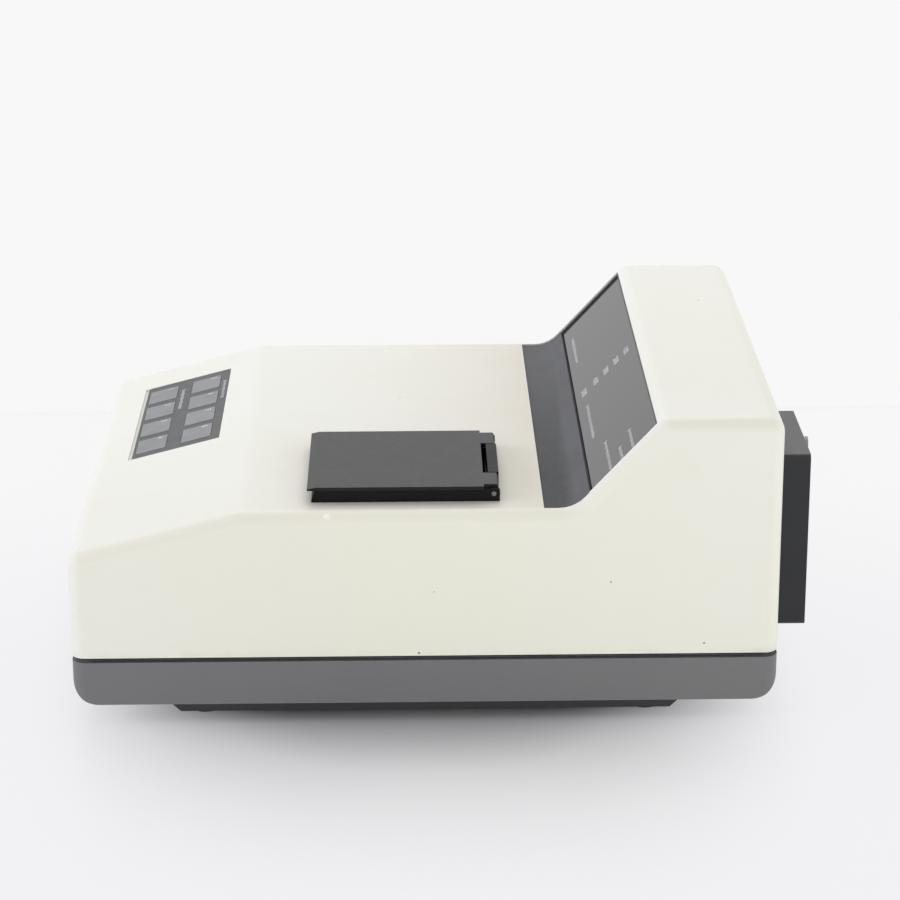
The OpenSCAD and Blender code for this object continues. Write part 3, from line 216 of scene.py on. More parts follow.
class Finish(Graph):
    """A material round one Principled shader, with the nodes that finishes are made of."""

    def __init__(self, name):
        self.mat = bpy.data.materials.new(name)
        self.mat.use_nodes = True
        super().__init__(self.mat.node_tree)
        self.out = self.new("ShaderNodeOutputMaterial")
        self.bsdf = self.new("ShaderNodeBsdfPrincipled")
        self.link(self.bsdf.outputs[0], self.out.inputs[0])
        self.co = self.new("ShaderNodeTexCoord").outputs["Object"]
        self.normal = None

    def set(self, **values):
        for key, value in values.items():
            self.put(self.bsdf.inputs[key.replace("_", " ")], value)

    def colour(self):
        return self.bsdf.inputs["Base Color"].links[0].from_socket

    def axes(self, vector):
        return self.new("ShaderNodeSeparateXYZ", {"Vector": vector}).outputs

    def facing(self):
        return self.axes(self.new("ShaderNodeNewGeometry").outputs["Normal"])

    def stretch(self, scale):
        return self.new("ShaderNodeMapping", {"Vector": self.co, "Scale": scale}).outputs[0]

    def noise(self, scale, detail=3.0, rough=0.6, vector=None):
        inputs = {"Vector": vector or self.co, "Scale": scale, "Detail": detail, "Roughness": rough}
        return self.new("ShaderNodeTexNoise", inputs).outputs["Fac"]

    def span(self, value, lo, hi, to=(0.0, 1.0)):
        inputs = {"Value": value, "From Min": lo, "From Max": hi, "To Min": to[0], "To Max": to[1]}
        return self.new("ShaderNodeMapRange", inputs).outputs[0]

    def ease(self, value, lo, hi):
        inputs = {"Value": value, "From Min": lo, "From Max": hi}
        return self.new("ShaderNodeMapRange", inputs, interpolation_type="SMOOTHSTEP").outputs[0]

    def cloud(self, scale, lo, hi, to=(0.0, 1.0), **shape):
        """Noise whose values from lo to hi are spread over the range given by to."""
        return self.span(self.noise(scale, **shape), lo, hi, to)

    def cells(self, scale):
        return self.new("ShaderNodeTexVoronoi", {"Vector": self.co, "Scale": scale}).outputs["Distance"]

    def bands(self, scale, distortion, axis):
        inputs = {"Vector": self.co, "Scale": scale, "Distortion": distortion}
        return self.new("ShaderNodeTexWave", inputs, bands_direction=axis).outputs["Fac"]

    def mix(self, share, a, b):
        inputs = {"Factor": share, 6: a, 7: b}
        return self.new("ShaderNodeMix", inputs, data_type="RGBA").outputs[2]

    def tint(self, colour, towards, *masks):
        """The colour, drawn towards another by the product of the masks."""
        return self.mix(self.product(*masks), colour, towards)

    def bump(self, height, depth, strength=1.0):
        n = self.new("ShaderNodeBump", {"Height": height, "Distance": depth, "Strength": strength})
        if self.normal is not None:
            self.link(self.normal, n.inputs["Normal"])
        self.normal = n.outputs[0]
        self.link(self.normal, self.bsdf.inputs["Normal"])

    def edges(self, radius):
        """1 along the edges, 0 on flat ground, by how far a rounded normal leans from the true one."""
        flat_dot = 0.995
        edge_dot = 0.9
        rounded = self.new("ShaderNodeBevel", {"Radius": radius}, samples=4).outputs[0]
        flat = self.new("ShaderNodeNewGeometry").outputs["Normal"]
        dot = self.new("ShaderNodeVectorMath", {0: rounded, 1: flat}, operation="DOT_PRODUCT")
        return self.span(dot.outputs["Value"], flat_dot, edge_dot)

    def spot(self, point, radius, core=0.6):
        """1 at the point, falling to 0 between the core's share of the radius and the radius."""
        away = self.new("ShaderNodeVectorMath", {0: self.co, 1: point}, operation="DISTANCE")
        return self.span(away.outputs["Value"], radius, radius * core)


# General finishes

def moulded(name, light, dark, rough, grain, depth, patch, wear=None, spec=0.5, leather=None, fleck=0.06):
    """Moulded or painted surface: two close tones in patches, a fine grain, and a change of gloss.

    grain, patch and leather are noise scales, depth is the grain's height, and wear gives the
    width, colour and amount of rubbing along edges.
    """
    t = Finish(name)
    colour = t.mix(t.cloud(patch, 0.2, 0.8, detail=4), light, dark)
    colour = t.tint(colour, BLACK, t.cloud(grain, 0.3, 0.7, detail=2, rough=0.5), fleck)
    if wear:
        radius, worn, amount = wear
        colour = t.tint(colour, worn, t.edges(radius), t.cloud(160, 0.35, 0.7, detail=4, rough=0.7), amount)
    t.set(Base_Color=colour, Specular_IOR_Level=spec)
    t.set(Roughness=t.cloud(patch * 4, 0.2, 0.8, to=rough))
    if leather:
        t.bump(t.cells(leather), depth * LEATHER_DEPTH, LEATHER_STRENGTH)
    t.bump(t.noise(grain, detail=2, rough=0.5), depth)
    return t


def metal(name, colour, rough, direction=(40, 2500, 2500), depth=0.01 * MM):
    """Brushed metal with darker stains; direction stretches the brushing along its smallest number."""
    t = Finish(name)
    brushed = t.noise(1.0, vector=t.stretch(direction))
    t.set(Metallic=1.0, Base_Color=t.mix(t.cloud(60, 0.35, 0.7, detail=4), colour, shaded(colour, 0.72)))
    t.set(Roughness=t.span(brushed, 0.3, 0.7, to=(rough - 0.08, rough + 0.1)))
    t.bump(brushed, depth)
    return t.mat


def glass_finish(name, colour):
    t = Finish(name)
    smear = t.cloud(120, 0.4, 0.7)
    t.set(Base_Color=t.mix(smear, colour, shaded(colour, 0.9)), Transmission_Weight=0.9)
    t.set(Roughness=t.math("ADD", t.math("MULTIPLY", smear, 0.06), 0.02))
    return t.mat


# Cream moulding of the case

def rim_dust(t, place):
    """Darker along the lower rim."""
    height = 4 * MM
    return t.product(t.span(place["Z"], case_lo.z + height, case_lo.z), t.cloud(90, 0.4, 0.7, detail=4))


def deck_ageing(t, place, facing):
    """Painted shade, partly yellowing: the deck is darker and warmer round the collar and towards the trim,
    where the display housing shades it.
    """
    collar_reach = 32 * MM
    collar_share = 0.6
    trim_from = -90 * MM
    trim_to = 48 * MM
    trim_power = 2.6
    lo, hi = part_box("compartment_collar")
    mid = (lo + hi) / 2
    half = (hi - lo) / 2
    off_x = t.math("SUBTRACT", t.math("ABSOLUTE", t.math("SUBTRACT", place["X"], mid.x)), half.x)
    off_y = t.math("SUBTRACT", t.math("ABSOLUTE", t.math("SUBTRACT", place["Y"], mid.y)), half.y)
    near_collar = t.product(t.span(t.math("MAXIMUM", off_x, off_y), collar_reach, 0.0), collar_share)
    near_trim = t.math("POWER", t.span(place["Y"], trim_from, trim_to), trim_power)
    off_deck = t.math("ABSOLUTE", t.math("SUBTRACT", place["Z"], DECK_Z))
    on_deck = t.product(t.span(off_deck, 5 * MM, 1 * MM), t.span(facing["Z"], 0.5, 0.85))
    uneven = t.cloud(30, 0.2, 0.7, to=(0.7, 1.0), detail=4)
    return t.product(t.math("MAXIMUM", near_collar, near_trim), uneven, on_deck)


def edge_ageing(t, facing):
    """Painted shade: the rounded edges along the sides are darker and yellower, where the light misses
    them.
    """
    corner = t.product(t.math("ABSOLUTE", facing["X"]), facing["Z"])
    return t.product(t.span(corner, 0.12, 0.42), t.cloud(24, 0.2, 0.7, to=(0.7, 1.0)))


def side_middle(t, place, facing):
    """The middle of each side is a little yellower than its ends."""
    amid = t.span(t.math("ABSOLUTE", place["Y"]), 150 * MM, 40 * MM)
    return t.product(amid, t.span(t.math("ABSOLUTE", facing["X"]), 0.8, 0.95))


def case_specks():
    """Small marks on the case: point, radius and tone."""
    side, rear, top = case_hi
    return (((side, -12.4 * MM, 36.9 * MM), 0.8 * MM, srgb(92, 120, 150)),
            ((side, 82.0 * MM, 73.8 * MM), 0.55 * MM, srgb(120, 108, 92)),
            ((side, 128.6 * MM, 40.9 * MM), 0.6 * MM, srgb(84, 78, 70)),
            ((side, -4.8 * MM, 69.4 * MM), 0.5 * MM, srgb(196, 170, 140)),
            ((-side, 41.0 * MM, 52.0 * MM), 0.6 * MM, srgb(110, 100, 86)),
            ((31 * MM, rear, 108 * MM), 0.6 * MM, srgb(96, 88, 76)),
            ((-64 * MM, 143 * MM, top), 0.6 * MM, srgb(128, 118, 98)),
            ((-38 * MM, -21 * MM, DECK_Z), 0.6 * MM, srgb(150, 138, 116)))


def cream_finish():
    t = Finish("cream_moulding")
    place = t.axes(t.co)
    facing = t.facing()
    colour = t.mix(t.cloud(5.5, 0.36, 0.64, rough=0.5), srgb(235, 235, 226), srgb(233, 232.5, 221))
    handled = t.cloud(38, 0.56, 0.74, detail=5, rough=0.65)
    colour = t.tint(colour, srgb(212, 206, 186), handled, 0.08)
    colour = t.tint(colour, srgb(150, 146, 130), rim_dust(t, place), 0.22)
    # painted shade, partly yellowing, on the deck round the collar and towards the trim
    colour = t.tint(colour, srgb(222, 216, 202), deck_ageing(t, place, facing))
    # painted shade on the rounded edges along the sides
    colour = t.tint(colour, srgb(230, 228, 214), edge_ageing(t, facing))
    colour = t.tint(colour, srgb(232, 231, 215), side_middle(t, place, facing), 0.6)
    # painted highlight with some rubbed wear: sharp rims are painted pale, as if catching the light
    highlight_and_wear_breakup = t.cloud(160, 0.3, 0.6, detail=4, rough=0.7)
    colour = t.tint(colour, srgb(247, 246, 240), t.edges(1.0 * MM), highlight_and_wear_breakup, 0.5)
    for point, radius, tone in case_specks():
        colour = t.tint(colour, tone, t.spot(point, radius), 0.85)
    # a small pale spot on the near edge of the deck
    pale_spot = t.spot((case_hi.x - 1 * MM, -56.6 * MM, 109.5 * MM), 2.8 * MM)
    colour = t.tint(colour, srgb(250, 248, 242), pale_spot, t.cloud(900, 0.4, 0.6))
    t.set(Base_Color=colour, Specular_IOR_Level=0.4)
    t.set(Roughness=t.cloud(60, 0.3, 0.7, to=(0.40, 0.46)))
    t.bump(t.noise(1500, detail=2, rough=0.5), 0.03 * MM, 0.5)
    t.bump(t.noise(26, detail=2, rough=0.4), 0.2 * MM, 0.25)
    return t.mat


# Other finishes of single pieces

def base_finish():
    """Grey moulding; the upstand in the shadow gap and the plinth below are painted darker, as painted
    shade.
    """
    t = moulded("grey_moulding", srgb(116, 116, 117), srgb(110, 110, 112), rough=(0.44, 0.50), grain=1500,
                depth=0.03 * MM, patch=9, wear=(1.2 * MM, srgb(150, 150, 152), 0.3))
    height = t.axes(t.co)["Z"]
    mottle = t.cloud(500, 0.2, 0.8)
    # painted shade: the upstand in the gap and the plinth are coloured dark as if in shadow
    gap = t.mix(mottle, srgb(34, 34, 36), srgb(29, 29, 31))
    plinth = t.mix(mottle, srgb(58, 58, 62), srgb(51, 51, 55))
    in_gap = t.span(height, BASE_TOP + 0.1 * MM, BASE_TOP + 0.4 * MM)
    plinth_top = base_lo.z + PLINTH_HEIGHT
    on_plinth = t.span(height, plinth_top, plinth_top - 0.2 * MM)
    t.set(Base_Color=t.mix(on_plinth, t.mix(in_gap, t.colour(), gap), plinth))
    return t.mat


def trim_finish():
    """Grained strip, with a painted sheen: paler on its rise to the window and towards its far end."""
    t = moulded("trim_grain", srgb(76, 77, 79), srgb(68, 69, 71), rough=(0.50, 0.56), grain=1000,
                depth=0.08 * MM, patch=24, spec=0.15, leather=900, fleck=0.35)
    rise = t.span(t.facing()["Z"], 0.99, 0.86)
    far_end = t.span(t.axes(t.co)["X"], 60 * MM, -110 * MM)
    uneven = t.cloud(40, 0.2, 0.7, to=(0.75, 1.0))
    # painted sheen: the rise and the far end are painted paler, where light glances off the strip
    t.set(Base_Color=t.tint(t.colour(), srgb(94, 95, 97), t.math("MAXIMUM", rise, far_end), uneven))
    return t.mat


def window_finish():
    """Smoked panel with faint wipe marks along its length."""
    t = Finish("smoked_window")
    wipe = t.cloud(1.0, 0.35, 0.75, detail=4, vector=t.stretch((30, 160, 160)))
    t.set(Base_Color=t.mix(wipe, (0.018, 0.0185, 0.021, 1), (0.022, 0.0225, 0.026, 1)))
    t.set(Roughness=t.math("ADD", t.math("MULTIPLY", wipe, 0.05), 0.05))
    t.set(Specular_IOR_Level=0.5, IOR=1.5)
    t.bump(t.noise(22, detail=2, rough=0.4), 0.03 * MM, 0.3)
    return t.mat


def board_finish():
    t = Finish("circuit_board")
    tracks = t.new("ShaderNodeTexBrick", {
        "Vector": t.co, "Scale": 240.0, "Mortar Size": 0.03, "Color1": srgb(28, 82, 50),
        "Color2": srgb(24, 74, 46), "Mortar": srgb(44, 112, 66)}).outputs
    t.set(Base_Color=t.mix(t.cloud(70, 0.4, 0.7), tracks["Color"], srgb(22, 66, 42)))
    t.set(Roughness=t.cloud(200, 0.3, 0.7, to=(0.3, 0.45), detail=2, rough=0.5))
    t.bump(tracks["Fac"], 0.04 * MM)
    return t.mat


def winding_finish():
    t = Finish("taped_winding")
    turns = t.bands(220.0, 1.5, "Z")
    t.set(Base_Color=t.mix(turns, srgb(196, 158, 74), srgb(168, 128, 52)))
    t.set(Roughness=t.cloud(150, 0.3, 0.7, to=(0.35, 0.5)))
    t.bump(turns, 0.2 * MM)
    return t.mat


def lamination_finish():
    t = Finish("core_laminations")
    sheets = t.bands(320.0, 0.6, "Y")
    t.set(Base_Color=t.mix(sheets, srgb(104, 104, 106), srgb(62, 62, 66)), Metallic=0.7)
    t.set(Roughness=t.cloud(150, 0.3, 0.7, to=(0.4, 0.55)))
    t.bump(sheets, 0.1 * MM)
    return t.mat


def foam_finish():
    t = Finish("foam_pad")
    pores = t.cells(1400)
    t.set(Base_Color=t.mix(t.span(pores, 0.1, 0.5), srgb(34, 35, 37), srgb(58, 59, 62)), Roughness=0.95)
    t.bump(pores, 0.4 * MM)
    return t.mat


cream = cream_finish()
grey_base = base_finish()
trim_grey = trim_finish()
window_glass = window_finish()
lid_black = moulded(
    "lid_paint", srgb(27, 28, 33), srgb(21, 22, 27), rough=(0.33, 0.37), grain=1300, depth=0.05 * MM,
    patch=30, wear=(0.5 * MM, srgb(110, 110, 112), 0.4), spec=0.24, leather=1100, fleck=0.35).mat
collar_black = moulded(
    "collar_moulding", srgb(14, 15, 16), srgb(10, 11, 12), rough=(0.5, 0.58), grain=1500,
    depth=0.03 * MM, patch=30, wear=(0.4 * MM, srgb(60, 60, 62), 0.25), spec=0.2).mat
cover_black = moulded(
    "cover_paint", srgb(32, 33, 37), srgb(26, 27, 31), rough=(0.28, 0.36), grain=1600,
    depth=0.03 * MM, patch=20, wear=(0.7 * MM, srgb(110, 110, 112), 0.4), spec=0.45).mat
well_black = moulded(
    "well_moulding", srgb(26, 27, 28), srgb(18, 19, 20), rough=(0.55, 0.7), grain=1200,
    depth=0.04 * MM, patch=30).mat
film_grey = moulded(
    "keypad_film", srgb(60, 62, 65), srgb(54, 56, 59), rough=(0.36, 0.46), grain=1800,
    depth=0.02 * MM, patch=40).mat
key_grey = moulded(
    "key_film", srgb(136, 138, 138), srgb(118, 120, 120), rough=(0.36, 0.46), grain=1800,
    depth=0.02 * MM, patch=40, wear=(0.4 * MM, srgb(176, 176, 178), 0.4)).mat
rubber = moulded(
    "foot_rubber", srgb(38, 38, 39), srgb(28, 28, 29), rough=(0.7, 0.85), grain=1100,
    depth=0.06 * MM, patch=40).mat
socket_black = moulded(
    "socket_moulding", srgb(30, 31, 33), srgb(22, 23, 25), rough=(0.38, 0.5), grain=1500,
    depth=0.03 * MM, patch=40, wear=(0.5 * MM, srgb(88, 88, 90), 0.35)).mat
ceramic = moulded(
    "lamp_ceramic", srgb(226, 222, 210), srgb(212, 206, 192), rough=(0.4, 0.55), grain=1200,
    depth=0.03 * MM, patch=60).mat
chip_black = moulded(
    "part_moulding", srgb(40, 40, 42), srgb(30, 30, 32), rough=(0.5, 0.65), grain=1500,
    depth=0.03 * MM, patch=60).mat
ribbon_grey = moulded(
    "ribbon_jacket", srgb(188, 188, 190), srgb(172, 172, 175), rough=(0.4, 0.5), grain=700,
    depth=0.05 * MM, patch=60).mat
print_white = moulded(
    "legend_print", srgb(222, 222, 222), srgb(208, 208, 210), rough=(0.45, 0.55), grain=1800,
    depth=0.01 * MM, patch=200).mat
led_red = moulded(
    "digit_face", srgb(96, 30, 30), srgb(78, 24, 26), rough=(0.3, 0.4), grain=1500,
    depth=0.02 * MM, patch=120).mat
steel = metal("bright_steel", (0.62, 0.62, 0.63, 1), rough=0.24)
pin_steel = metal("pin_steel", (0.30, 0.30, 0.31, 1), rough=0.34)
plated = metal("plated_steel", (0.58, 0.58, 0.57, 1), rough=0.32, direction=(600, 600, 40))
alloy = metal("cast_alloy", (0.46, 0.47, 0.48, 1), rough=0.45, direction=(500, 500, 500), depth=0.04 * MM)
anodised = metal("anodised_block", (0.075, 0.077, 0.082, 1), rough=0.42, direction=(500, 500, 60))
brass = metal("brass", (0.68, 0.50, 0.22, 1), rough=0.3, direction=(600, 600, 60))
mirror_face = metal("mirror_coating", (0.86, 0.87, 0.88, 1), rough=0.12)
grating_face = metal("ruled_grating", (0.72, 0.76, 0.84, 1), rough=0.2, direction=(40, 6000, 40))
pcb = board_finish()
winding = winding_finish()
core_iron = lamination_finish()
lens_glass = glass_finish("lens_glass", (0.92, 0.96, 0.97, 1))
filter_glass = glass_finish("filter_glass", (0.85, 0.42, 0.10, 1))
foam = foam_finish()


# Carried-over solids: finish, softened edges and shading by face weight

def dress(name, mat, edge, angle=32, planes=True):
    """Give a node its finish, and soften edges sharper than angle, in degrees, by edge, in mm."""
    o = nodes[name]
    if "custom_normal" in o.data.attributes:
        o.data.attributes.remove(o.data.attributes["custom_normal"])
    if not o.data.materials:
        o.data.materials.append(mat)
    for i in range(len(o.data.materials)):
        o.data.materials[i] = mat
    o.data.polygons.foreach_set("use_smooth", [True] * len(o.data.polygons))
    weld = o.modifiers.new("weld", "WELD")
    weld.merge_threshold = SOLID_WELD
    if planes:
        flat = o.modifiers.new("planes", "DECIMATE")
        flat.decimate_type = "DISSOLVE"
        flat.angle_limit = PLANE_ANGLE
    soft = o.modifiers.new("edges", "BEVEL")
    soft.width = edge * MM
    soft.segments = EDGE_SEGMENTS
    soft.limit_method = "ANGLE"
    soft.angle_limit = math.radians(angle)
    soft.use_clamp_overlap = True
    shade = o.modifiers.new("shade", "WEIGHTED_NORMAL")
    shade.keep_sharp = True


dress("case_cover", cream, edge=0.5, angle=40, planes=False)
dress("base_tray", grey_base, edge=0.5)
dress("rubber_feet", rubber, edge=0.4)
dress("keypad_overlay", film_grey, edge=0.1)
for i in KEYS:
    dress(f"key_{i}", key_grey, edge=0.18)
dress("display_bezel", trim_grey, edge=0.3, angle=40)
dress("display_window", window_glass, edge=0.15)
dress("compartment_collar", collar_black, edge=0.3)
dress("sample_lid", lid_black, edge=0.3, angle=20)
dress("lamp_cover", cover_black, edge=0.5)
dress("lamp_cover_screw", pin_steel, edge=0.12)
dress("mains_inlet", socket_black, edge=0.4)
dress("power_switch", socket_black, edge=0.3)
dress("power_rocker", socket_black, edge=0.5, angle=20)
dress("serial_socket", plated, edge=0.2)
dress("sample_well", well_black, edge=0.3)
dress("cuvette_holder", anodised, edge=0.3)
dress("cuvette_spring", steel, edge=0.05)
INNER_FINISHES = {
    "optical_bench": alloy, "case_screws": plated, "key_domes": steel, "keypad_board": pcb,
    "ribbon_cables": ribbon_grey, "display_board": pcb, "led_digits": led_red, "hinge_pin": pin_steel,
    "lamp_bracket": plated, "lamp_socket": ceramic, "lamp_bulb": lens_glass, "condenser_lens": lens_glass,
    "filter_wheel": anodised, "filter_glasses": filter_glass, "filter_motor": plated,
    "monochromator_body": alloy, "monochromator_cover": alloy, "slit_plates": anodised,
    "mirrors": mirror_face, "grating_carrier": plated, "diffraction_grating": grating_face,
    "sector_gear": brass, "shaft_bushes": brass, "wavelength_motor": plated, "motor_pinion": brass,
    "detector_block": anodised, "photodiode": plated, "detector_board": pcb, "main_board": pcb,
    "board_parts": chip_black, "board_spacers": brass, "transformer_core": core_iron,
    "transformer_coil": winding}
for name, mat in INNER_FINISHES.items():
    dress(name, mat, edge=0.1)


# New pieces: the foam under the lid, and print of plain numbers and rules

def add(name, mesh, mat, body):
    mesh.materials.append(mat)
    o = bpy.data.objects.new(name, mesh)
    bpy.context.scene.collection.objects.link(o)
    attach(o, body)
    return o


def foam_pad():
    """Die-cut foam under the lid: it bulges a little between its edges, which are drawn in and rounded."""
    lo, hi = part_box("lid_pad")
    half = (hi - lo) / 2
    middle = (lo + hi) / 2
    bm = bmesh.new()
    bmesh.ops.create_grid(bm, x_segments=FOAM_STEPS, y_segments=FOAM_STEPS, size=1.0)
    ring = bmesh.ops.extrude_face_region(bm, geom=bm.faces[:])
    low = {v for v in ring["geom"] if isinstance(v, bmesh.types.BMVert)}
    for v in bm.verts:
        u, w = v.co.x, v.co.y
        crown = (1 - u ** 4) * (1 - w ** 4)
        drawn = FOAM_EDGE / 2 if v in low else 0.0
        x = u * (half.x - drawn)
        y = w * (half.y - drawn)
        z = FOAM_BULGE * (1 - crown) - half.z if v in low else half.z
        v.co = middle + Vector((x, y, z))
    bmesh.ops.recalc_face_normals(bm, faces=bm.faces)
    rim = [e for e in bm.edges if e.calc_face_angle(0) > FOAM_RIM and all(v in low for v in e.verts)]
    bmesh.ops.bevel(bm, geom=rim, offset=FOAM_EDGE / 2, segments=3, affect="EDGES", profile=0.6)
    me = bpy.data.meshes.new("lid_foam")
    bm.to_mesh(me)
    bm.free()
    me.polygons.foreach_set("use_smooth", [True] * len(me.polygons))
    o = add("lid_foam", me, foam, "lid")
    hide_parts("lid_pad")


def figures(name, texts, plane, body, lift, spread=1.0):
    """Numbers printed on a plane: (text, x, s, size), in mm."""
    bm = bmesh.new()
    for text, x, s, size in texts:
        curve = bpy.data.curves.new(name + "_type", "FONT")
        curve.body = text
        curve.size = size * MM
        curve.offset = TYPE_WEIGHT * MM
        curve.space_character = spread
        curve.align_x = "CENTER"
        curve.align_y = "CENTER"
        curve.extrude = PRINT_THICK / 2 * MM
        curve.resolution_u = TYPE_STEPS
        o = bpy.data.objects.new(name + "_type", curve)
        bpy.context.scene.collection.objects.link(o)
        graph = bpy.context.evaluated_depsgraph_get()
        me = bpy.data.meshes.new_from_object(o.evaluated_get(graph))
        me.transform(plane @ Matrix.Translation((x * MM, s * MM, lift * MM)))
        bm.from_mesh(me)
        bpy.data.meshes.remove(me)
        bpy.data.objects.remove(o)
        bpy.data.curves.remove(curve)
    me = bpy.data.meshes.new(name)
    bmesh.ops.remove_doubles(bm, verts=bm.verts, dist=TYPE_WELD)
    bm.to_mesh(me)
    bm.free()
    add(name, me, print_white, body)


def rules(name, bars, plane, body, lift):
    """Printed bars on a plane: (x0, x1, s0, s1), in mm."""
    bm = bmesh.new()
    for x0, x1, s0, s1 in bars:
        corners = [(x0, s0), (x1, s0), (x1, s1), (x0, s1)]
        low = [bm.verts.new((x * MM, s * MM, (lift - PRINT_THICK / 2) * MM)) for x, s in corners]
        top = [bm.verts.new((x * MM, s * MM, (lift + PRINT_THICK / 2) * MM)) for x, s in corners]
        bm.faces.new(reversed(low))
        bm.faces.new(top)
        for i in range(4):
            j = (i + 1) % 4
            bm.faces.new((low[i], low[j], top[j], top[i]))
    me = bpy.data.meshes.new(name)
    bm.to_mesh(me)
    bm.free()
    me.transform(plane)
    add(name, me, print_white, body)


def ticks(x0, x1, s, tall):
    """Row of bars from x0 to x1 at the height s, in mm, with a tall one in each group."""
    bars = []
    for k in range(int((x1 - x0) / TICK_STEP) + 1):
        half = tall / 2 if k % TICK_GROUP == 0 else tall / 2 * TICK_SHORT
        x = x0 + k * TICK_STEP
        bars.append((x, x + TICK_WIDTH, s - half, s + half))
    return bars


def key_middle(i):
    """Middle of a key on the slope, in mm."""
    lo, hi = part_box(f"key_{i}")
    at = SLOPE.inverted() @ ((lo + hi) / 2)
    return at.x / MM, at.y / MM


def rocker_face(side):
    """Plane of the rocker's upper (1) or lower (-1) slanted face, at its middle."""
    joint = next(j for j in frame["record"]["behaviour"]["joints"] if j["name"] == "power_rocker_tilt")
    tilt = math.radians(joint["range_deg"][1] / 2)
    middle = Matrix.Translation((0, (ROCKER_VALLEY + ROCKER_CREST) / 2 * MM, side * ROCKER_HALF / 2 * MM))
    slant = Matrix.Rotation(-side * math.atan2(ROCKER_CREST - ROCKER_VALLEY, ROCKER_HALF), 4, "X")
    outward = Matrix(((-1, 0, 0, 0), (0, 0, 1, 0), (0, 1, 0, 0), (0, 0, 0, 1)))
    return Matrix.Translation(joint["pos_m"]) @ Matrix.Rotation(tilt, 4, "X") @ middle @ slant @ outward


def keypad_print():
    for i in KEYS:
        x, s = key_middle(i)
        number = (str(i), x + KEY_NUMBER_X, s + KEY_NUMBER_S, KEY_NUMBER_SIZE)
        figures(f"key_{i}_number", [number], SLOPE, f"key_{i}", KEY_FACE + PRINT_LIFT)
    lower = key_middle(1)[1]
    upper = key_middle(5)[1]
    x0, x1, tall = MIDDLE_RULES
    bars = ticks(x0, x1, (lower + upper) / 2 - MIDDLE_RULES_DROP, tall)
    x0, x1, tall = UPPER_RULES
    bars += ticks(x0, x1, upper + UPPER_RULES_RISE, tall)
    rules("keypad_rules", bars, SLOPE, "instrument", FILM_FACE + PRINT_LIFT)


def rocker_print():
    for name, mark, side in (("rocker_bar", "I", 1), ("rocker_ring", "O", -1)):
        figures(name, [(mark, 0, 0, ROCKER_MARK)], rocker_face(side), "rocker", PRINT_LIFT)


def window_print():
    lift = WINDOW_FACE + PRINT_LIFT
    numbers = [(str(NUMBER_STEP * (k + 1)), NUMBER_X, s, NUMBER_SIZE) for k, s in enumerate(NUMBER_ROWS)]
    figures("window_numbers", numbers, DISPLAY, "instrument", lift, NUMBER_SPREAD)
    bars = [bar for x0, x1, s in WINDOW_RULES for bar in ticks(x0, x1, s, WINDOW_RULE_TALL)]
    rules("window_rules", bars, DISPLAY, "instrument", lift)


foam_pad()
keypad_print()
rocker_print()
window_print()


# Stage: pale floor that fades to white, soft light and the photograph's camera

def shadow_reach(t, place):
    """Distance from the shadow's middle, 1 on a squarish oval round the object."""
    off_x = t.math("ABSOLUTE", t.math("DIVIDE", place["X"], SHADOW_X))
    off_y = t.math("SUBTRACT", place["Y"], SHADOW_MIDDLE_Y)
    off_y = t.math("ABSOLUTE", t.math("DIVIDE", off_y, SHADOW_Y))
    both = t.math("ADD", t.math("POWER", off_x, SHADOW_SQUARE), t.math("POWER", off_y, SHADOW_SQUARE))
    return t.math("POWER", both, 1 / SHADOW_SQUARE)


def table_colour(t, place):
    """Tones of the table, paler towards its end, with a faint line there and white beyond."""
    along = t.span(place["X"], *TABLE_TONES)
    colour = t.mix(along, srgb(247, 247, 248), srgb(242, 242, 244))
    beyond = t.span(place["X"], TABLE_END + 2 * MM, TABLE_END - 3 * MM)
    colour = t.mix(beyond, colour, srgb(248, 248, 249))
    off_line = t.math("ABSOLUTE", t.math("SUBTRACT", place["X"], TABLE_END))
    return t.mix(t.span(off_line, 6 * MM, 1 * MM), colour, srgb(245, 245, 246))


def floor_finish():
    """Lit paper near the object, which keeps its shadow and has painted shadow in a darker paper colour
    there, and even tones of light further off.
    """
    t = Finish("floor_paper")
    place = t.axes(t.co)
    reach = shadow_reach(t, place)
    near = t.product(t.ease(reach, *NEAR_FADE), NEAR_SHARE)
    far = t.product(t.ease(reach, *FAR_FADE), 1 - NEAR_SHARE)
    fade = t.math("ADD", near, far)
    paper = t.mix(t.cloud(9, 0.3, 0.7, rough=0.5), (0.76, 0.76, 0.77, 1), (0.78, 0.78, 0.785, 1))
    # painted shadow: the paper is darker near the object
    t.set(Base_Color=t.mix(t.span(reach, *PAINTED_SHADOW_END), (0.57, 0.57, 0.58, 1), paper))
    t.set(Roughness=t.cloud(40, 0.3, 0.7, to=(0.28, 0.34), rough=0.5), Specular_IOR_Level=0.5)
    light = t.new("ShaderNodeEmission", {"Color": table_colour(t, place), "Strength": 1.0}).outputs[0]
    top = t.blend(t.product(fade, t.seen()), t.bsdf.outputs[0], light)
    # the floor is clear from below, so that the underside shows
    below = t.new("ShaderNodeNewGeometry").outputs["Backfacing"]
    clear = t.new("ShaderNodeBsdfTransparent").outputs[0]
    t.link(t.blend(below, top, clear), t.out.inputs[0])
    return t.mat


def stage_floor():
    bm = bmesh.new()
    bmesh.ops.create_grid(bm, x_segments=1, y_segments=1, size=FLOOR_HALF)
    me = bpy.data.meshes.new("floor")
    bm.to_mesh(me)
    bm.free()
    me.materials.append(floor_finish())
    o = bpy.data.objects.new("floor", me)
    bpy.context.scene.collection.objects.link(o)


def stage_world():
    """Soft light from all round, which shows as near white."""
    world = bpy.data.worlds.new("studio")
    bpy.context.scene.world = world
    world.use_nodes = True
    g = Graph(world.node_tree)
    soft = g.new("ShaderNodeBackground", {"Color": (1.0, 1.0, 1.0, 1), "Strength": 0.60}).outputs[0]
    white = g.new("ShaderNodeBackground", {"Color": (0.94, 0.94, 0.945, 1), "Strength": 1.0}).outputs[0]
    out = g.new("ShaderNodeOutputWorld")
    g.link(g.blend(g.seen(), soft, white), out.inputs[0])


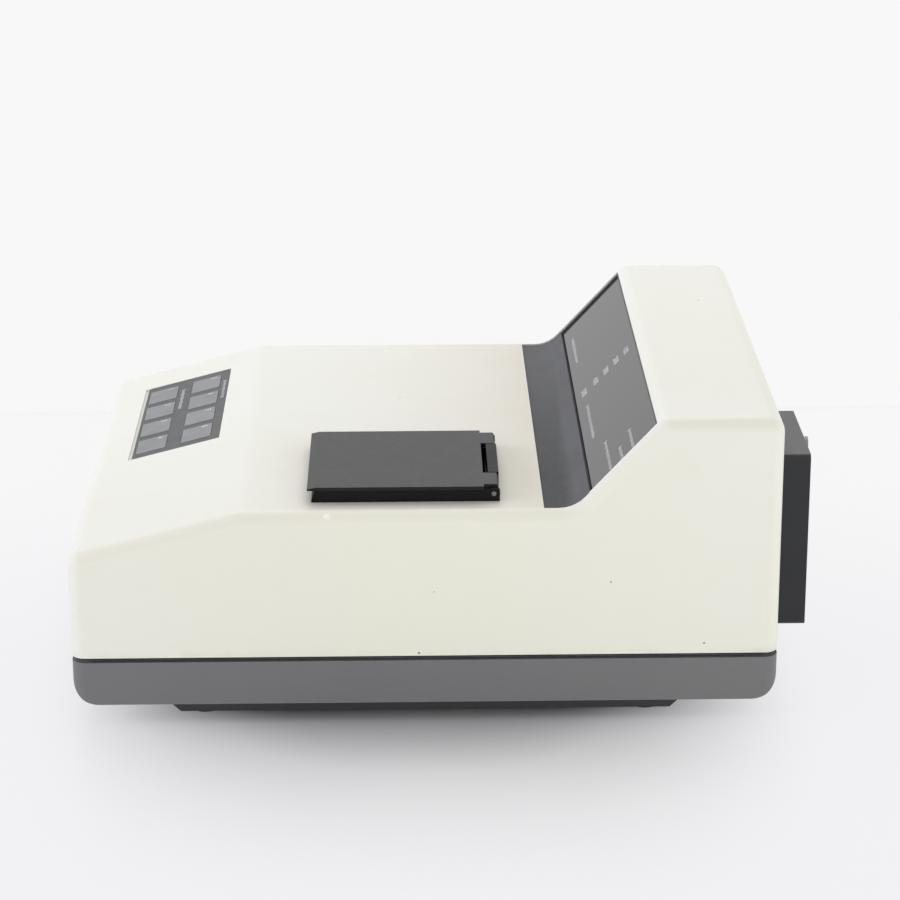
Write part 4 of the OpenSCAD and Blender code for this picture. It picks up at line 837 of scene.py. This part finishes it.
def lamp(name, place, target, size, watts, colour, mirrored=False):
    """Soft lamp; only a mirrored one shows in glossy surfaces."""
    data = bpy.data.lights.new(name, "AREA")
    data.color = colour
    data.shape = "RECTANGLE"
    data.size, data.size_y = size
    data.energy = watts
    o = bpy.data.objects.new(name, data)
    bpy.context.scene.collection.objects.link(o)
    o.visible_camera = False
    o.visible_glossy = mirrored
    o.location = place
    o.rotation_euler = (Vector(target) - Vector(place)).to_track_quat("-Z", "Y").to_euler()


def stage_lamps():
    lamp("overhead", place=(-1.0, 0.05, 1.5), target=(0, -0.05, 0.1), size=(1.6, 1.6), watts=11.8,
         colour=(0.975, 0.97, 0.955), mirrored=True)
    lamp("front", place=(0.1, -1.75, 0.7), target=(0, -0.1, 0.1), size=(1.2, 0.8), watts=14.8,
         colour=(0.80, 0.795, 1.0))
    lamp("camera_side", place=(1.7, 0.4, 0.2), target=(0.1, 0.02, 0.08), size=(1.8, 0.36), watts=9.9,
         colour=(1.0, 0.995, 0.97))
    lamp("rear", place=(-0.2, 1.75, 0.3), target=(0, 0.1, 0.08), size=(1.2, 0.6), watts=6,
         colour=(1.0, 0.99, 0.98))


def stage_camera():
    level = math.cos(CAMERA_PITCH)
    ahead = Vector((-math.cos(CAMERA_YAW) * level, math.sin(CAMERA_YAW) * level, -math.sin(CAMERA_PITCH)))
    right = Vector((math.sin(CAMERA_YAW), math.cos(CAMERA_YAW), 0))
    up = right.cross(ahead)
    x = right * math.cos(CAMERA_ROLL) + up * math.sin(CAMERA_ROLL)
    y = up * math.cos(CAMERA_ROLL) - right * math.sin(CAMERA_ROLL)
    cam = bpy.data.cameras.new("camera")
    cam.sensor_width = SENSOR_WIDTH
    cam.lens = FOCAL_PIXELS / PICTURE_PIXELS * SENSOR_WIDTH
    cam.clip_start, cam.clip_end = CAMERA_CLIP
    o = bpy.data.objects.new("camera", cam)
    bpy.context.scene.collection.objects.link(o)
    turn = Matrix((x, y, -ahead)).transposed().to_4x4()
    o.matrix_world = Matrix.Translation(CAMERA_PLACE) @ turn
    bpy.context.scene.camera = o


stage_floor()
stage_world()
stage_lamps()
stage_camera()
bpy.context.scene.view_settings.view_transform = "Standard"
